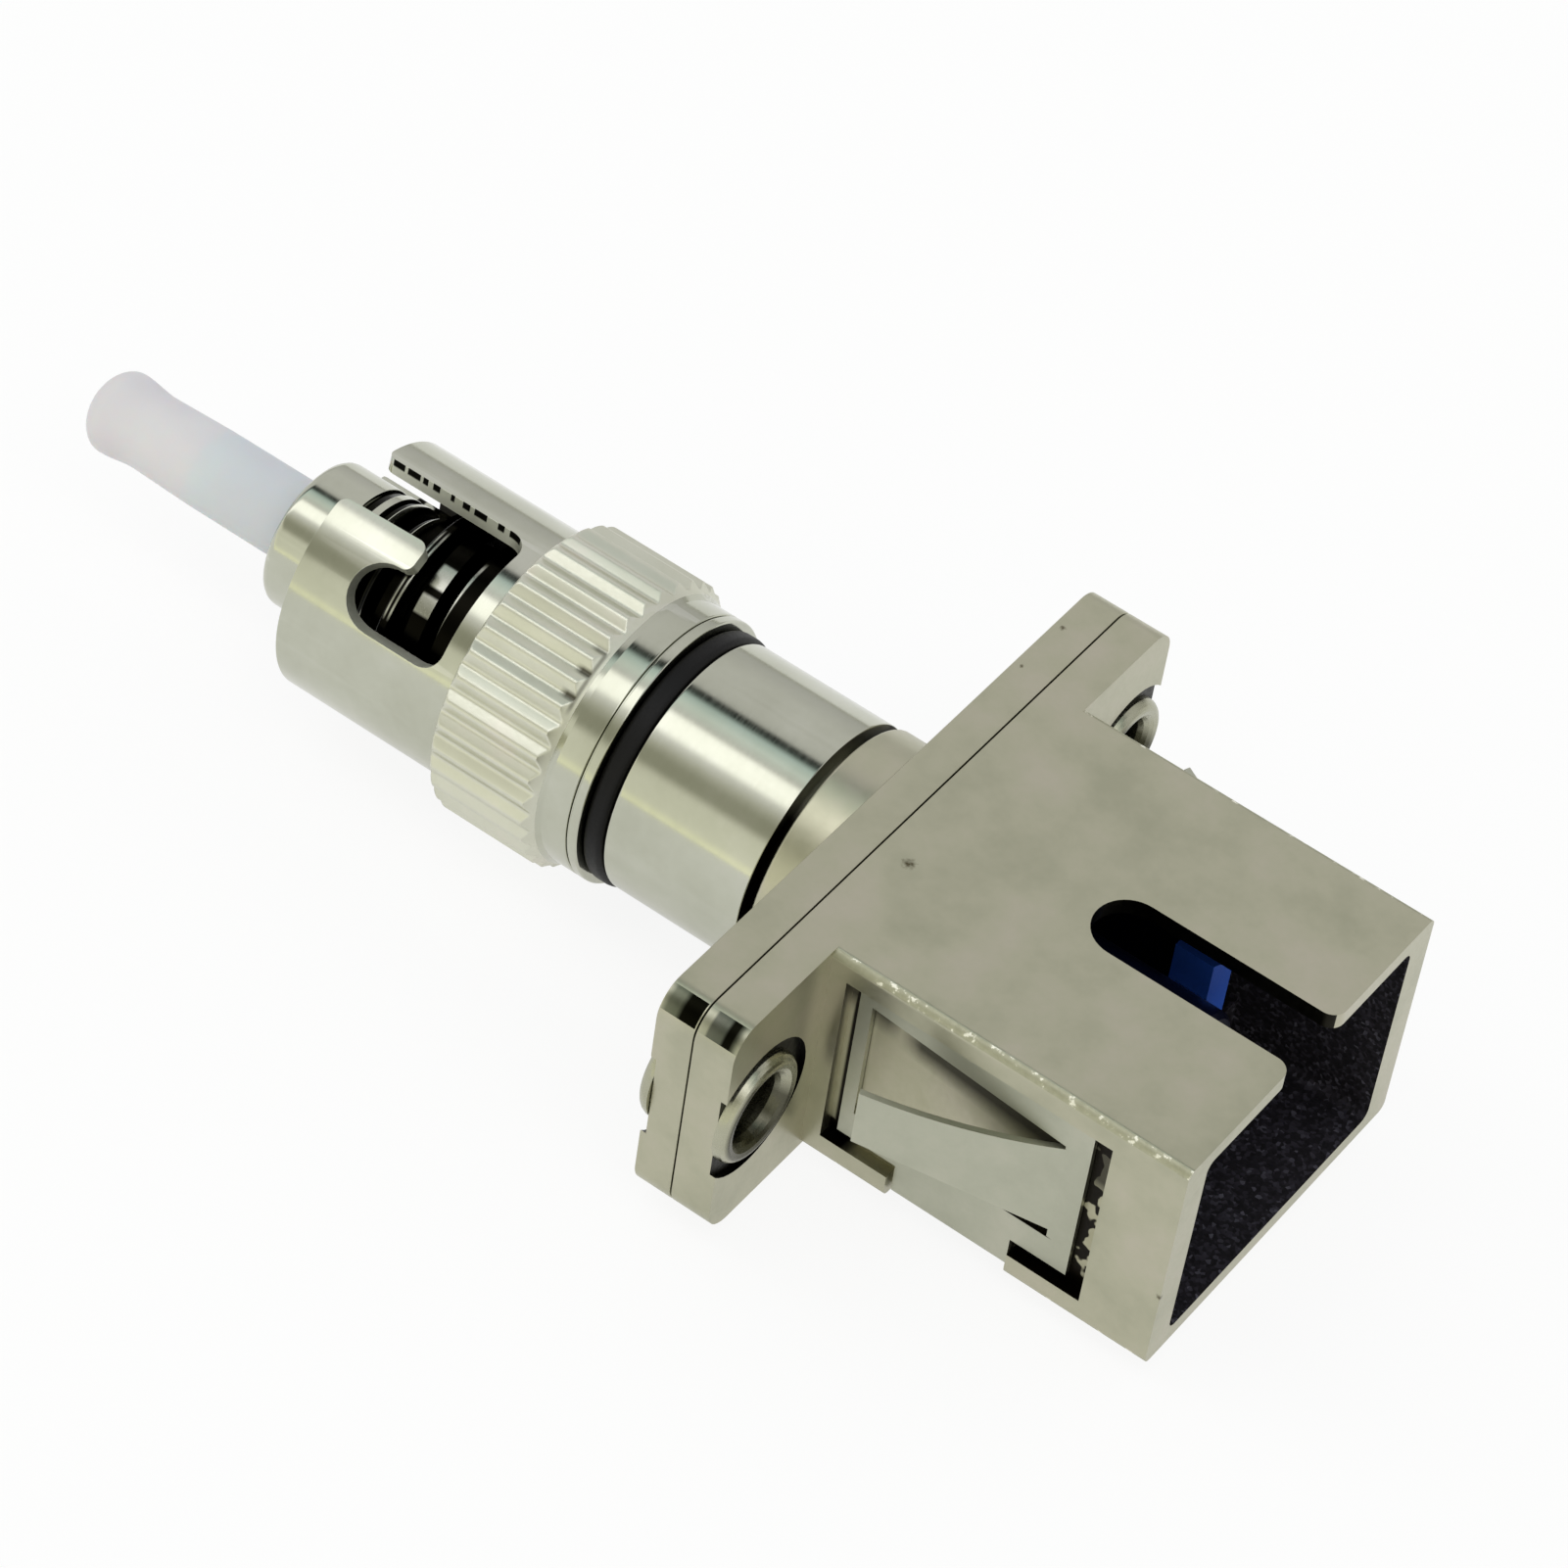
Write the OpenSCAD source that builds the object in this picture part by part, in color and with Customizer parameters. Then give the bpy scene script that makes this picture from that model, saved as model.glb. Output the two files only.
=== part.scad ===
// Hybrid fibre adapter: a bayonet plug with a ceramic ferrule on one end,
// a rectangular push-in socket with inner latch arms on the other,
// and a riveted two-part panel flange between them.
// Millimetres. X runs along the optical axis, from the plug at -X to the
// socket mouth at +X. Z is up, the keyway side. The origin is on the optical
// axis in the plane where the two flange halves meet.

/* [Flange] */
// Length of the flange across the panel cut-out
flange_w = 22; // [20.5:0.1:25]
// Thickness of the flange half on the socket housing
flange_front_t = 1.4; // [1:0.05:1.8]
// Thickness of the flange half on the plug side
flange_back_t = 1.32; // [1:0.05:1.8]
// Radius of the four flange corners
flange_corner_r = 1; // [0.5:0.05:1.6]
// Gap drawn between the two flange halves
flange_gap = 0.06; // [0.02:0.01:0.1]
// Distance from an eyelet's centre to its end of the flange
eyelet_inset = 1.7; // [1.65:0.05:2.3]
// Radius of the round seats that the eyelets sit in
eyelet_seat_r = 2.35; // [2.1:0.05:2.5]
// Depth of those seats
eyelet_seat_depth = 0.2; // [0.1:0.05:0.3]
// Step from the flange's top in to the round boss behind it
boss_step = 0.02; // [0.01:0.01:0.1]
// Length of that boss
boss_len = 1.48; // [1.2:0.02:2.4]
// Rounding of the boss's rear edge
boss_edge_r = 0.14; // [0.05:0.01:0.2]

/* [Eyelets] */
// Bore radius of an eyelet, which takes the panel screw
eyelet_bore_r = 1.1; // [0.9:0.05:1.15]
// Wall of an eyelet
eyelet_wall = 0.25; // [0.15:0.05:0.35]
// Radius of the rolled heads
eyelet_head_r = 1.87; // [1.7:0.01:1.95]
// Thickness of a rolled head
eyelet_head_t = 0.42; // [0.3:0.02:0.5]
// Depth of the funnel from a head's crest into the bore
eyelet_funnel = 0.6; // [0.4:0.05:0.7]

/* [Socket housing] */
// Height of the socket housing and of the flange
housing_h = 8.6; // [8.4:0.1:9.4]
// Length of the housing from the flange joint to its mouth
housing_len = 13.7; // [13:0.1:15]
// Radius of the long outer edges
housing_edge_r = 0.3; // [0.15:0.05:0.5]
// Width of the socket cavity at its mouth
port_w = 10.6; // [10.4:0.1:10.8]
// Height of the socket cavity
port_h = 7.45; // [7.3:0.05:7.5]
// Radius of the cavity corners
port_corner_r = 0.35; // [0.2:0.05:0.6]
// Thickness of the wall behind the cavity
port_back_t = 1.2; // [0.8:0.1:1.6]
// Width left between the guide ribs for the mating plug
guide_gap = 9.1; // [9:0.05:9.4]
// Length of the guide ribs
guide_len = 6.2; // [4:0.1:7]
// Clear height between the upper and the lower guide ribs
guide_clear_h = 4.4; // [4:0.1:5]
// Width of the keyway in the top wall
key_w = 2.3; // [1.8:0.05:2.6]
// Length of the keyway from the mouth to its round end
key_len = 7.55; // [6:0.05:8.5]
// Radius of the keyway's two corners at the mouth
key_corner_r = 0.5; // [0.3:0.05:0.8]

/* [Panel clip] */
// Thickness of the clip's spring sheet
clip_t = 0.2; // [0.12:0.02:0.22]
// Depth of the side recesses for the clip
clip_seat_depth = 0.45; // [0.35:0.05:0.5]
// Wall left between those recesses and the cavity
clip_wall = 0.65; // [0.55:0.05:0.9]
// Depth of the recess for the band under the housing
band_seat_depth = 0.28; // [0.24:0.02:0.32]
// Place where the side recesses start
clip_seat_x = 2; // [1.8:0.1:2.4]
// Length of the side recesses
clip_seat_len = 9.25; // [8.7:0.05:9.5]
// Height of the side recesses
clip_seat_h = 6.8; // [6.6:0.1:7]
// Gap between the clip's edge and the recess
clip_edge_gap = 0.4; // [0.2:0.05:0.5]
// Gap between the clip's end and the recess on the mouth's side
clip_end_gap = 0.7; // [0.4:0.05:0.9]
// Width of the clip's frame on the flange's side
clip_frame_w = 0.45; // [0.35:0.05:0.7]
// Width of the band under the housing
band_w = 4.1; // [3.5:0.1:4.5]
// Place where the band starts
band_x = 4.5; // [4:0.1:4.8]
// Length of each sprung wing
wing_len = 6.1; // [5.4:0.1:6.3]
// Angle that a wing stands out from the side
wing_angle = 22; // [14:1:24]
// Height of a wing at its fold
wing_root_h = 3.65; // [3.2:0.05:3.8]
// Height of a wing at its free end
wing_tip_h = 2.1; // [1.6:0.05:2.6]
// Sag of the wing's curved upper edge
wing_sag = 0.3; // [0.1:0.05:0.4]
// Height of the slit under a wing at its fold
wing_slit_h = 0.3; // [0.15:0.05:0.4]

/* [Coupling nut] */
// Wall of the nut's smooth barrel
nut_wall = 0.535; // [0.45:0.005:0.6]
// Length of the nut from its rim to its tail ring
nut_len = 11.3; // [11:0.1:12]
// Radius over the knurl
knurl_r = 4.95; // [4.8:0.05:5.2]
// Height of the knurl above the smooth barrel
knurl_rise = 0.695; // [0.5:0.005:0.9]
// Length of the knurled band
knurl_len = 3.65; // [3:0.05:4]
// Depth of the knurl grooves
knurl_depth = 0.3; // [0.15:0.05:0.35]
// Number of knurl ridges
knurl_teeth = 36; // [24:1:48]
// Height of the collar behind the knurl above the smooth barrel
collar_rise = 0.275; // [0.2:0.005:0.4]
// Length of that collar
collar_len = 0.9; // [0.7:0.05:1.2]
// Length of the slope between knurl and collar
collar_slope = 0.45; // [0.3:0.05:0.6]
// Thickness of the tail ring's flange
tail_ring_t = 0.3; // [0.2:0.02:0.4]
// Rounding of the nut's rim
nut_rim_r = 0.24; // [0.1:0.02:0.24]
// Width of the fine groove in front of the tail ring
tail_groove_w = 0.1; // [0.06:0.01:0.14]
// Depth of that groove
tail_groove_depth = 0.14; // [0.06:0.01:0.3]

/* [Bayonet slots] */
// Width of the straight entry of a slot
slot_w = 2; // [1.8:0.05:2.2]
// Depth of a slot from the rim to its rear edge
slot_depth = 5.55; // [5.2:0.05:5.8]
// Width of the rear passage of a slot
slot_passage_w = 2.3; // [2.1:0.05:2.5]
// Radius of the round notch that holds the pin
notch_r = 1.13; // [1.05:0.01:1.2]
// Depth of the notch from the rim to its round end
notch_depth = 1.8; // [1.6:0.05:2.2]
// Angle of the entry, counted from +Y towards +Z
entry_angle = 94.5; // [90:0.5:100]
// Turn from the entry to the notch
notch_turn = 43.3; // [40:0.1:46]
// Extra width of the entry at the rim
entry_flare = 0.1; // [0.05:0.05:1]
// Rounding of the entry's edges at the rim
entry_mouth_r = 0.35; // [0.1:0.05:0.4]

/* [Plug body] */
// Outer radius of the plug barrel
barrel_r = 2.5; // [2.45:0.01:2.55]
// Length of the barrel in front of the nut's rim
barrel_reach = 2.1; // [1.6:0.1:2.6]
// Bore radius at the front of the barrel, which clears the mating sleeve
barrel_front_bore_r = 1.75; // [1.7:0.01:1.9]
// Depth of that front bore
barrel_front_bore_len = 7.4; // [6.5:0.1:7.8]
// Thickness of the wall that guides the ferrule
barrel_web_t = 0.6; // [0.5:0.05:0.9]
// Radius of the barrel's stem inside the body tube
stem_r = 3; // [2.85:0.05:3.1]
// Length of the stem
stem_len = 3; // [2:0.1:3.4]
// Width of the barrel's key
barrel_key_w = 1; // [0.8:0.05:1.2]
// Gap between the key and the nut's bore
barrel_key_gap = 0.8; // [0.7:0.02:1]
// Length of the key
barrel_key_len = 3; // [2.4:0.1:3.2]
// Step from the nut's smooth barrel in to the body tube
tube_step = 0.041; // [0.02:0.005:0.08]
// Length of the body tube
tube_len = 4.93; // [4.4:0.01:5.4]
// Width of the groove between body tube and boss
tube_groove_w = 0.33; // [0.1:0.01:0.4]
// Bore radius of the body tube
tube_bore_r = 3.2; // [3.15:0.05:3.25]
// Length of the body tube's spigot inside the boss
spigot_len = 1.3; // [0.8:0.1:1.5]
// Thickness of the black ring between nut and body tube
bumper_t = 0.7; // [0.5:0.02:0.8]
// Height of the black ring above the body tube
bumper_rise = 0.086; // [0.05:0.002:0.2]

/* [Spring] */
// Wire radius of the coupling spring
spring_wire_r = 0.18; // [0.14:0.01:0.22]
// Number of turns of the coupling spring
spring_turns = 6; // [5:1:7]
// Gap between the two spring washers and the nut's bore
washer_gap = 0.27; // [0.2:0.01:0.32]
// Thickness of a spring washer
washer_t = 0.3; // [0.2:0.02:0.36]
// Thickness of the snap ring in front of the spring
snap_ring_t = 0.3; // [0.2:0.02:0.36]
// Step from the snap ring's edge out to the spring washer's
snap_ring_step = 0.2; // [0.1:0.05:0.4]
// Depth of the barrel groove that holds the snap ring
snap_groove_depth = 0.3; // [0.2:0.02:0.4]
// Distance from the nut's rim to the front spring washer
washer_set_back = 2.8; // [2.6:0.05:3]

/* [Ferrule and cap] */
// Radius of the ceramic ferrules
ferrule_r = 1.25; // [1.24:0.001:1.26]
// Length of the ferrule in front of the plug barrel
ferrule_reach = 3.9; // [3.4:0.1:5]
// Length of the plug's ferrule
ferrule_len = 14; // [13:0.1:14.4]
// Length of the cone at each ferrule end
ferrule_cone = 0.35; // [0.2:0.05:0.5]
// Radius of a ferrule's end face
ferrule_face_r = 0.75; // [0.6:0.05:0.9]
// Radius of the ferrule's metal seat
seat_r = 1.7; // [1.65:0.01:1.74]
// Length of the ferrule's metal seat
seat_len = 5.2; // [4.6:0.1:5.4]
// Radius of the coated fibre between the two ferrules
fibre_r = 0.45; // [0.2:0.05:0.5]
// Wall of the dust cap over the ferrule
cap_wall = 0.08; // [0.08:0.01:0.2]
// Gap between the dust cap and the ferrule
cap_gap = 0.015; // [0.01:0.005:0.03]
// Length of the dust cap in front of the ferrule's tip
cap_nose_len = 4.7; // [3.6:0.1:5]
// Length of the dust cap over the ferrule
cap_skirt_len = 4.7; // [4.2:0.1:5.5]
// Radius of the cap's solid nose
cap_nose_r = 1.19; // [1.1:0.01:1.3]
// Length over which the cap narrows from the ferrule to its nose
cap_neck_len = 2; // [1.2:0.1:2.4]
// Radius of the rounded bulb at the cap's tip
cap_bulb_r = 1.3; // [1.2:0.01:1.4]

/* [Sleeve and holder] */
// Outer radius of the ceramic alignment sleeve
sleeve_r = 1.62; // [1.56:0.01:1.64]
// Length of the alignment sleeve
sleeve_len = 7; // [6.5:0.1:7.2]
// Width of the slit along the alignment sleeve
sleeve_slit = 0.25; // [0.15:0.05:0.4]
// Length of the fixed ferrule inside the sleeve
stub_reach = 3.5; // [3:0.1:4]
// Outer radius of the holder's tube
holder_tube_r = 2.15; // [2.1:0.01:2.25]
// Length of the holder's tube in front of its plate
holder_tube_len = 6.6; // [6.55:0.05:7]
// Thickness of the holder's back plate
holder_plate_t = 1; // [0.8:0.1:1.2]
// Width of the lip in front of the sleeve
holder_lip = 0.2; // [0.1:0.05:0.3]
// Height of the holder's latch arms
arm_h = 3.4; // [3:0.1:3.8]
// Thickness of a latch arm
arm_t = 0.8; // [0.6:0.05:0.9]
// Distance from the axis to a latch arm's inner face
arm_y = 3.35; // [3.2:0.05:3.4]
// Length of a latch arm
arm_len = 5.6; // [5.2:0.1:6.2]
// Height of the hook on a latch arm
hook_h = 0.75; // [0.5:0.05:0.8]
// Length of that hook
hook_len = 1.6; // [1.3:0.05:2.2]

/* [Fits] */
// Gap around pieces that are fixed in one another
fit_gap = 0.01; // [0.005:0.005:0.02]
// Gap around pieces that slide or turn
run_gap = 0.05; // [0.03:0.01:0.08]
// Gap between the flat faces of pieces that rest on each other
face_gap = 0.02; // [0.01:0.01:0.03]

/* [Hidden] */
$fn = 96;
eps = 0.02;
nickel = "#b4b49c";
steel = "#c6c7bf";
clear_white = "#d2d4d8";

// Sizes across X
housing_w = port_w + 2 * (clip_wall + clip_seat_depth);
hole_pitch = flange_w - 2 * eyelet_inset;
boss_r = housing_h / 2 - boss_step;
nut_r = knurl_r - knurl_rise;
nut_bore_r = nut_r - nut_wall;
collar_r = nut_r + collar_rise;
tube_r = nut_r - tube_step;
bumper_r = tube_r + bumper_rise;
washer_r = nut_bore_r - washer_gap;
snap_ring_r = washer_r - snap_ring_step;
spring_mean_r = (barrel_r + nut_bore_r) / 2;

// Places along X, from the flange towards the plug's tip
boss_x = -flange_back_t - boss_len;
tube_back_x = boss_x - tube_groove_w;
tube_x = tube_back_x - tube_len;
bumper_x = tube_x - face_gap - bumper_t;
tail_x = bumper_x - face_gap;
nut_back_x = tail_x - tail_ring_t - tail_groove_w;
nut_x = nut_back_x - nut_len;
collar_x = nut_back_x - collar_len;
knurl_back_x = collar_x - collar_slope;
knurl_x = knurl_back_x - knurl_len;
tail_spigot_len = 1;
washer_rear_x = nut_back_x - tail_spigot_len - face_gap - washer_t;
washer_front_x = nut_x + washer_set_back;
snap_ring_x = washer_front_x - face_gap - snap_ring_t;
barrel_x = nut_x - barrel_reach;
ferrule_x = barrel_x - ferrule_reach;
seat_x = barrel_x + barrel_front_bore_len + barrel_web_t + face_gap;
seat_end_x = seat_x + seat_len;
ferrule_end_x = ferrule_x + ferrule_len;
cap_x = ferrule_x - cap_nose_len;
slot_rear_x = nut_x + slot_depth;
notch_x = nut_x + notch_depth;

// Places along X inside the socket
port_x = flange_front_t + port_back_t;
holder_x = port_x + face_gap;
holder_front_x = holder_x + holder_plate_t;
tube_front_x = holder_front_x + holder_tube_len;
sleeve_end_x = tube_front_x - holder_lip - face_gap;
sleeve_x = sleeve_end_x - sleeve_len;
stub_x = sleeve_x + stub_reach;
stub_holder_r = 2.5;
stub_back_x = -flange_back_t + 0.3;
arm_end_x = holder_front_x + arm_len;
clip_floor_y = housing_w / 2 - clip_seat_depth;
clip_out_y = clip_floor_y + face_gap + clip_t;
band_floor_z = -housing_h / 2 + band_seat_depth;
band_out_z = band_floor_z - face_gap - clip_t;
clip_bend_in_r = 3 * face_gap;
clip_x = clip_seat_x + clip_edge_gap;
clip_end_x = clip_seat_x + clip_seat_len - clip_end_gap;
window_x = clip_x + clip_frame_w;
window_end_x = clip_end_x - 0.85;

// A solid turned about the X axis from points given as [radius, x]
module turned(points) {
    rotate([0, 90, 0]) rotate_extrude() polygon(points);
}

// A plain ring about the X axis
module ring(r_out, r_in, x0, x1) {
    turned([[r_in, x0], [r_out, x0], [r_out, x1], [r_in, x1]]);
}

// A ring about the X axis with its outer edges broken by a small slope
module soft_ring(r_out, r_in, x0, x1, edge) {
    turned([[r_in, x0], [r_out - edge, x0], [r_out, x0 + edge],
        [r_out, x1 - edge], [r_out - edge, x1], [r_in, x1]]);
}

// Points of a rounded outer corner that ends a profile at its low X side,
// from the end face out to the side
function low_corner(r, x, edge, steps = 4) = [for (i = [0:steps])
    let (a = i * 90 / steps)
    [r - edge * (1 - sin(a)), x + edge * (1 - cos(a))]];

// A flat rectangle across the X axis with round corners
module rounded_rect(w, h, r) {
    square([w - 2 * r, h], center = true);
    square([w, h - 2 * r], center = true);
    for (sy = [-1, 1], sz = [-1, 1])
        translate([sy * (w / 2 - r), sz * (h / 2 - r)]) circle(r, $fn = 48);
}

// Extrudes a shape drawn in Y and Z along X, from x0 to x1
module along_x(x0, x1) {
    translate([x0, 0, 0]) rotate([90, 0, 90])
        linear_extrude(x1 - x0) children();
}

// Extrudes a shape drawn in X and Z towards +Y, from y0 to y1
module along_y(y0, y1) {
    translate([0, y1, 0]) rotate([90, 0, 0])
        linear_extrude(y1 - y0) children();
}

// Turns what is drawn on the +Y side to an angle about the X axis
module at_angle(angle) {
    rotate([angle, 0, 0]) children();
}

// The round seats and holes for the two eyelets, in a plate from x0 to x1
module eyelet_cuts(x0, x1, seat_x0, seat_x1) {
    for (side = [-1, 1]) translate([0, side * hole_pitch / 2, 0]) {
        rotate([0, 90, 0]) translate([0, 0, x0 - eps])
            cylinder(h = x1 - x0 + 2 * eps,
                r = eyelet_bore_r + eyelet_wall + fit_gap);
        rotate([0, 90, 0]) translate([0, 0, seat_x0])
            cylinder(h = seat_x1 - seat_x0, r = eyelet_seat_r);
    }
}

// One bayonet slot: an entry, a rear passage and a round notch
module bayonet_slot() {
    y0 = nut_bore_r - 1;
    y1 = knurl_r + 1;
    entry_r = 0.8;
    notch_end_x = slot_rear_x - 0.05;
    passage_x = slot_rear_x - slot_passage_w;
    tongue_x = passage_x - nut_x;
    at_angle(entry_angle) along_y(y0, y1) {
        translate([nut_x - eps, -slot_w / 2])
            square([slot_depth - entry_r + eps, slot_w]);
        translate([nut_x, -slot_w / 2 + entry_r])
            square([slot_depth, slot_w - entry_r]);
        translate([slot_rear_x - entry_r, -slot_w / 2 + entry_r])
            circle(entry_r, $fn = 48);
        polygon([[nut_x - eps, 0], [passage_x, 0],
            [passage_x, slot_w / 2],
            [nut_x + entry_mouth_r, slot_w / 2 + entry_flare * (1
                - entry_mouth_r / tongue_x)],
            [nut_x + entry_mouth_r / 3, slot_w / 2 + entry_flare
                + entry_mouth_r / 4],
            [nut_x - eps, slot_w / 2 + entry_flare + entry_mouth_r]]);
        difference() {
            translate([nut_x - eps, -slot_w / 2 - entry_mouth_r])
                square([entry_mouth_r + eps, entry_mouth_r + eps]);
            translate([nut_x + entry_mouth_r, -slot_w / 2 - entry_mouth_r])
                circle(entry_mouth_r, $fn = 48);
        }
    }
    rotate([0, 90, 0]) rotate([0, 0, entry_angle + 90])
        rotate_extrude(angle = notch_turn)
            translate([y0, passage_x]) square([y1 - y0, slot_passage_w]);
    at_angle(entry_angle + notch_turn) along_y(y0, y1) {
        translate([notch_x + notch_r, 0]) circle(notch_r, $fn = 64);
        translate([notch_x + notch_r, -notch_r])
            square([notch_end_x - notch_x - 2 * notch_r, 2 * notch_r]);
        translate([notch_end_x - notch_r, 0]) circle(notch_r, $fn = 64);
    }
}

module coupling_nut() {
    edge = 0.12;
    groove_half = knurl_depth * 0.85;
    color(nickel) difference() {
        turned(concat([[nut_bore_r, nut_x + edge],
            [nut_bore_r + edge, nut_x]],
            low_corner(nut_r, nut_x, nut_rim_r),
            [[nut_r, knurl_x], [knurl_r, knurl_x + (knurl_r - nut_r) * 0.4],
            [knurl_r, knurl_back_x], [collar_r, collar_x],
            [collar_r, nut_back_x], [nut_bore_r, nut_back_x]]));
        for (turn = [0, 180]) rotate([turn, 0, 0]) bayonet_slot();
        translate([knurl_x - 1, 0, 0]) rotate([0, 90, 0])
            linear_extrude(knurl_len + 1 + collar_slope)
                for (i = [0:knurl_teeth - 1]) rotate(i * 360 / knurl_teeth)
                    polygon([[knurl_r - knurl_depth, 0],
                        [knurl_r + eps, groove_half],
                        [knurl_r + eps, -groove_half]]);
    }
}

module nut_tail_ring() {
    bore_r = barrel_r + run_gap;
    color(nickel) {
        turned([[bore_r, nut_back_x - tail_spigot_len],
            [nut_bore_r - fit_gap, nut_back_x - tail_spigot_len],
            [nut_bore_r - fit_gap, nut_back_x + face_gap],
            [collar_r - tail_groove_depth, nut_back_x + face_gap],
            [collar_r - tail_groove_depth, tail_x - tail_ring_t],
            [collar_r, tail_x - tail_ring_t],
            [collar_r, tail_x - 0.06], [collar_r - 0.06, tail_x],
            [bore_r, tail_x]]);
    }
}

module spring_washer_rear() {
    color(steel) soft_ring(washer_r, barrel_r + run_gap,
        washer_rear_x, washer_rear_x + washer_t, 0.05);
}

module spring_washer_front() {
    color(steel) soft_ring(washer_r, barrel_r + run_gap,
        washer_front_x, washer_front_x + washer_t, 0.05);
}

// Points of a round wire section, swept along the coil
function coil_point(turn, pitch, mean_r, wire_r, side) =
    let (around = turn * 360, across = side * 360)
    let (r = mean_r + wire_r * cos(across))
    [turn * pitch + wire_r * sin(across), r * cos(around), r * sin(around)];

module coupling_spring() {
    sides = 8;
    steps = 20;
    x0 = washer_front_x + washer_t + face_gap;
    x1 = washer_rear_x - face_gap;
    rings = spring_turns * steps;
    pitch = (x1 - x0 - 2 * spring_wire_r) / spring_turns;
    points = [for (i = [0:rings], j = [0:sides - 1])
        coil_point(i / steps, pitch, spring_mean_r, spring_wire_r, j / sides)];
    walls = [for (i = [0:rings - 1], j = [0:sides - 1])
        let (k = (j + 1) % sides)
        [i * sides + j, (i + 1) * sides + j, (i + 1) * sides + k,
            i * sides + k]];
    first = [[for (j = [0:sides - 1]) j]];
    last = [[for (j = [sides - 1:-1:0]) rings * sides + j]];
    color(steel) translate([x0 + spring_wire_r, 0, 0])
        polyhedron(points, concat(first, walls, last), convexity = 10);
}

module snap_ring() {
    opening = 1.6;
    color(steel) difference() {
        ring(snap_ring_r, barrel_r - snap_groove_depth + fit_gap,
            snap_ring_x, snap_ring_x + snap_ring_t);
        translate([snap_ring_x - eps, -opening / 2, -snap_ring_r - 1])
            cube([snap_ring_t + 2 * eps, opening, snap_ring_r]);
    }
}

module plug_barrel() {
    edge = 0.25;
    groove_r = barrel_r - snap_groove_depth;
    guide_r = ferrule_r + run_gap;
    front_bore_x = barrel_x + barrel_front_bore_len;
    web_x = front_bore_x + barrel_web_t;
    key_root_r = barrel_front_bore_r + 0.1;
    key_top_r = nut_bore_r - barrel_key_gap;
    color(nickel) {
        turned([[barrel_front_bore_r, barrel_x],
            [barrel_r - edge, barrel_x], [barrel_r, barrel_x + edge],
            [barrel_r, snap_ring_x - fit_gap],
            [groove_r, snap_ring_x - fit_gap],
            [groove_r, snap_ring_x + snap_ring_t + fit_gap],
            [barrel_r, snap_ring_x + snap_ring_t + fit_gap],
            [barrel_r, tube_x], [stem_r, tube_x],
            [stem_r, tube_x + stem_len], [seat_r + fit_gap, tube_x + stem_len],
            [seat_r + fit_gap, web_x], [guide_r, web_x],
            [guide_r, front_bore_x], [barrel_front_bore_r, front_bore_x]]);
        at_angle(entry_angle - 90)
            translate([barrel_x + 2 * edge, key_root_r, -barrel_key_w / 2])
                cube([barrel_key_len, key_top_r - key_root_r, barrel_key_w]);
    }
}

// A ceramic ferrule with a cone at each end
module ferrule_rod(x0, x1) {
    bore_r = 0.0625;
    turned([[bore_r, x0], [ferrule_face_r, x0],
        [ferrule_r, x0 + ferrule_cone], [ferrule_r, x1 - ferrule_cone],
        [ferrule_face_r, x1], [bore_r, x1]]);
}

module ferrule() {
    color("#eef0ee") ferrule_rod(ferrule_x, ferrule_end_x);
}

module ferrule_seat() {
    color(steel) turned([[ferrule_r + fit_gap, seat_x], [seat_r, seat_x],
        [seat_r, seat_end_x], [fibre_r + fit_gap, seat_end_x],
        [fibre_r + fit_gap, ferrule_end_x + face_gap],
        [ferrule_r + fit_gap, ferrule_end_x + face_gap]]);
}

module ferrule_cap() {
    bore_r = ferrule_r + cap_gap;
    skirt_r = bore_r + cap_wall;
    bulb_x = cap_x + cap_bulb_r * 0.8;
    waist_x = bulb_x + 1.2;
    skirt_end_x = ferrule_x + cap_skirt_len;
    inner_x = ferrule_x - face_gap;
    neck_x = inner_x - cap_neck_len;
    tip = [for (a = [0:10:90]) [cap_bulb_r * sin(a), bulb_x
        - cap_bulb_r * 0.8 * cos(a)]];
    waist = [for (t = [0.25:0.25:1]) [cap_nose_r + (cap_bulb_r
        - cap_nose_r) * (1 + cos(180 * t)) / 2,
        bulb_x + t * (waist_x - bulb_x)]];
    neck = [for (t = [0:0.25:1]) [cap_nose_r + (skirt_r - cap_nose_r)
        * (1 - cos(180 * t)) / 2, neck_x + t * cap_neck_len]];
    color(clear_white, 0.8) difference() {
        turned(concat(tip, waist, neck,
            [[skirt_r, skirt_end_x], [0, skirt_end_x]]));
        turned([[0, inner_x], [bore_r, inner_x],
            [bore_r, skirt_end_x + eps], [0, skirt_end_x + eps]]);
    }
}

module bumper_ring() {
    color("#1d1e1f") soft_ring(bumper_r, barrel_r + fit_gap,
        bumper_x, bumper_x + bumper_t, 0.15);
}

module body_tube() {
    edge = 0.12;
    color(nickel) turned([[stem_r + fit_gap, tube_x], [tube_r - edge, tube_x],
        [tube_r, tube_x + edge], [tube_r, tube_back_x],
        [tube_bore_r + 0.35, tube_back_x],
        [tube_bore_r + 0.35, boss_x + spigot_len],
        [tube_bore_r, boss_x + spigot_len],
        [tube_bore_r, tube_x + stem_len + fit_gap],
        [stem_r + fit_gap, tube_x + stem_len + fit_gap]]);
}

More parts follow.
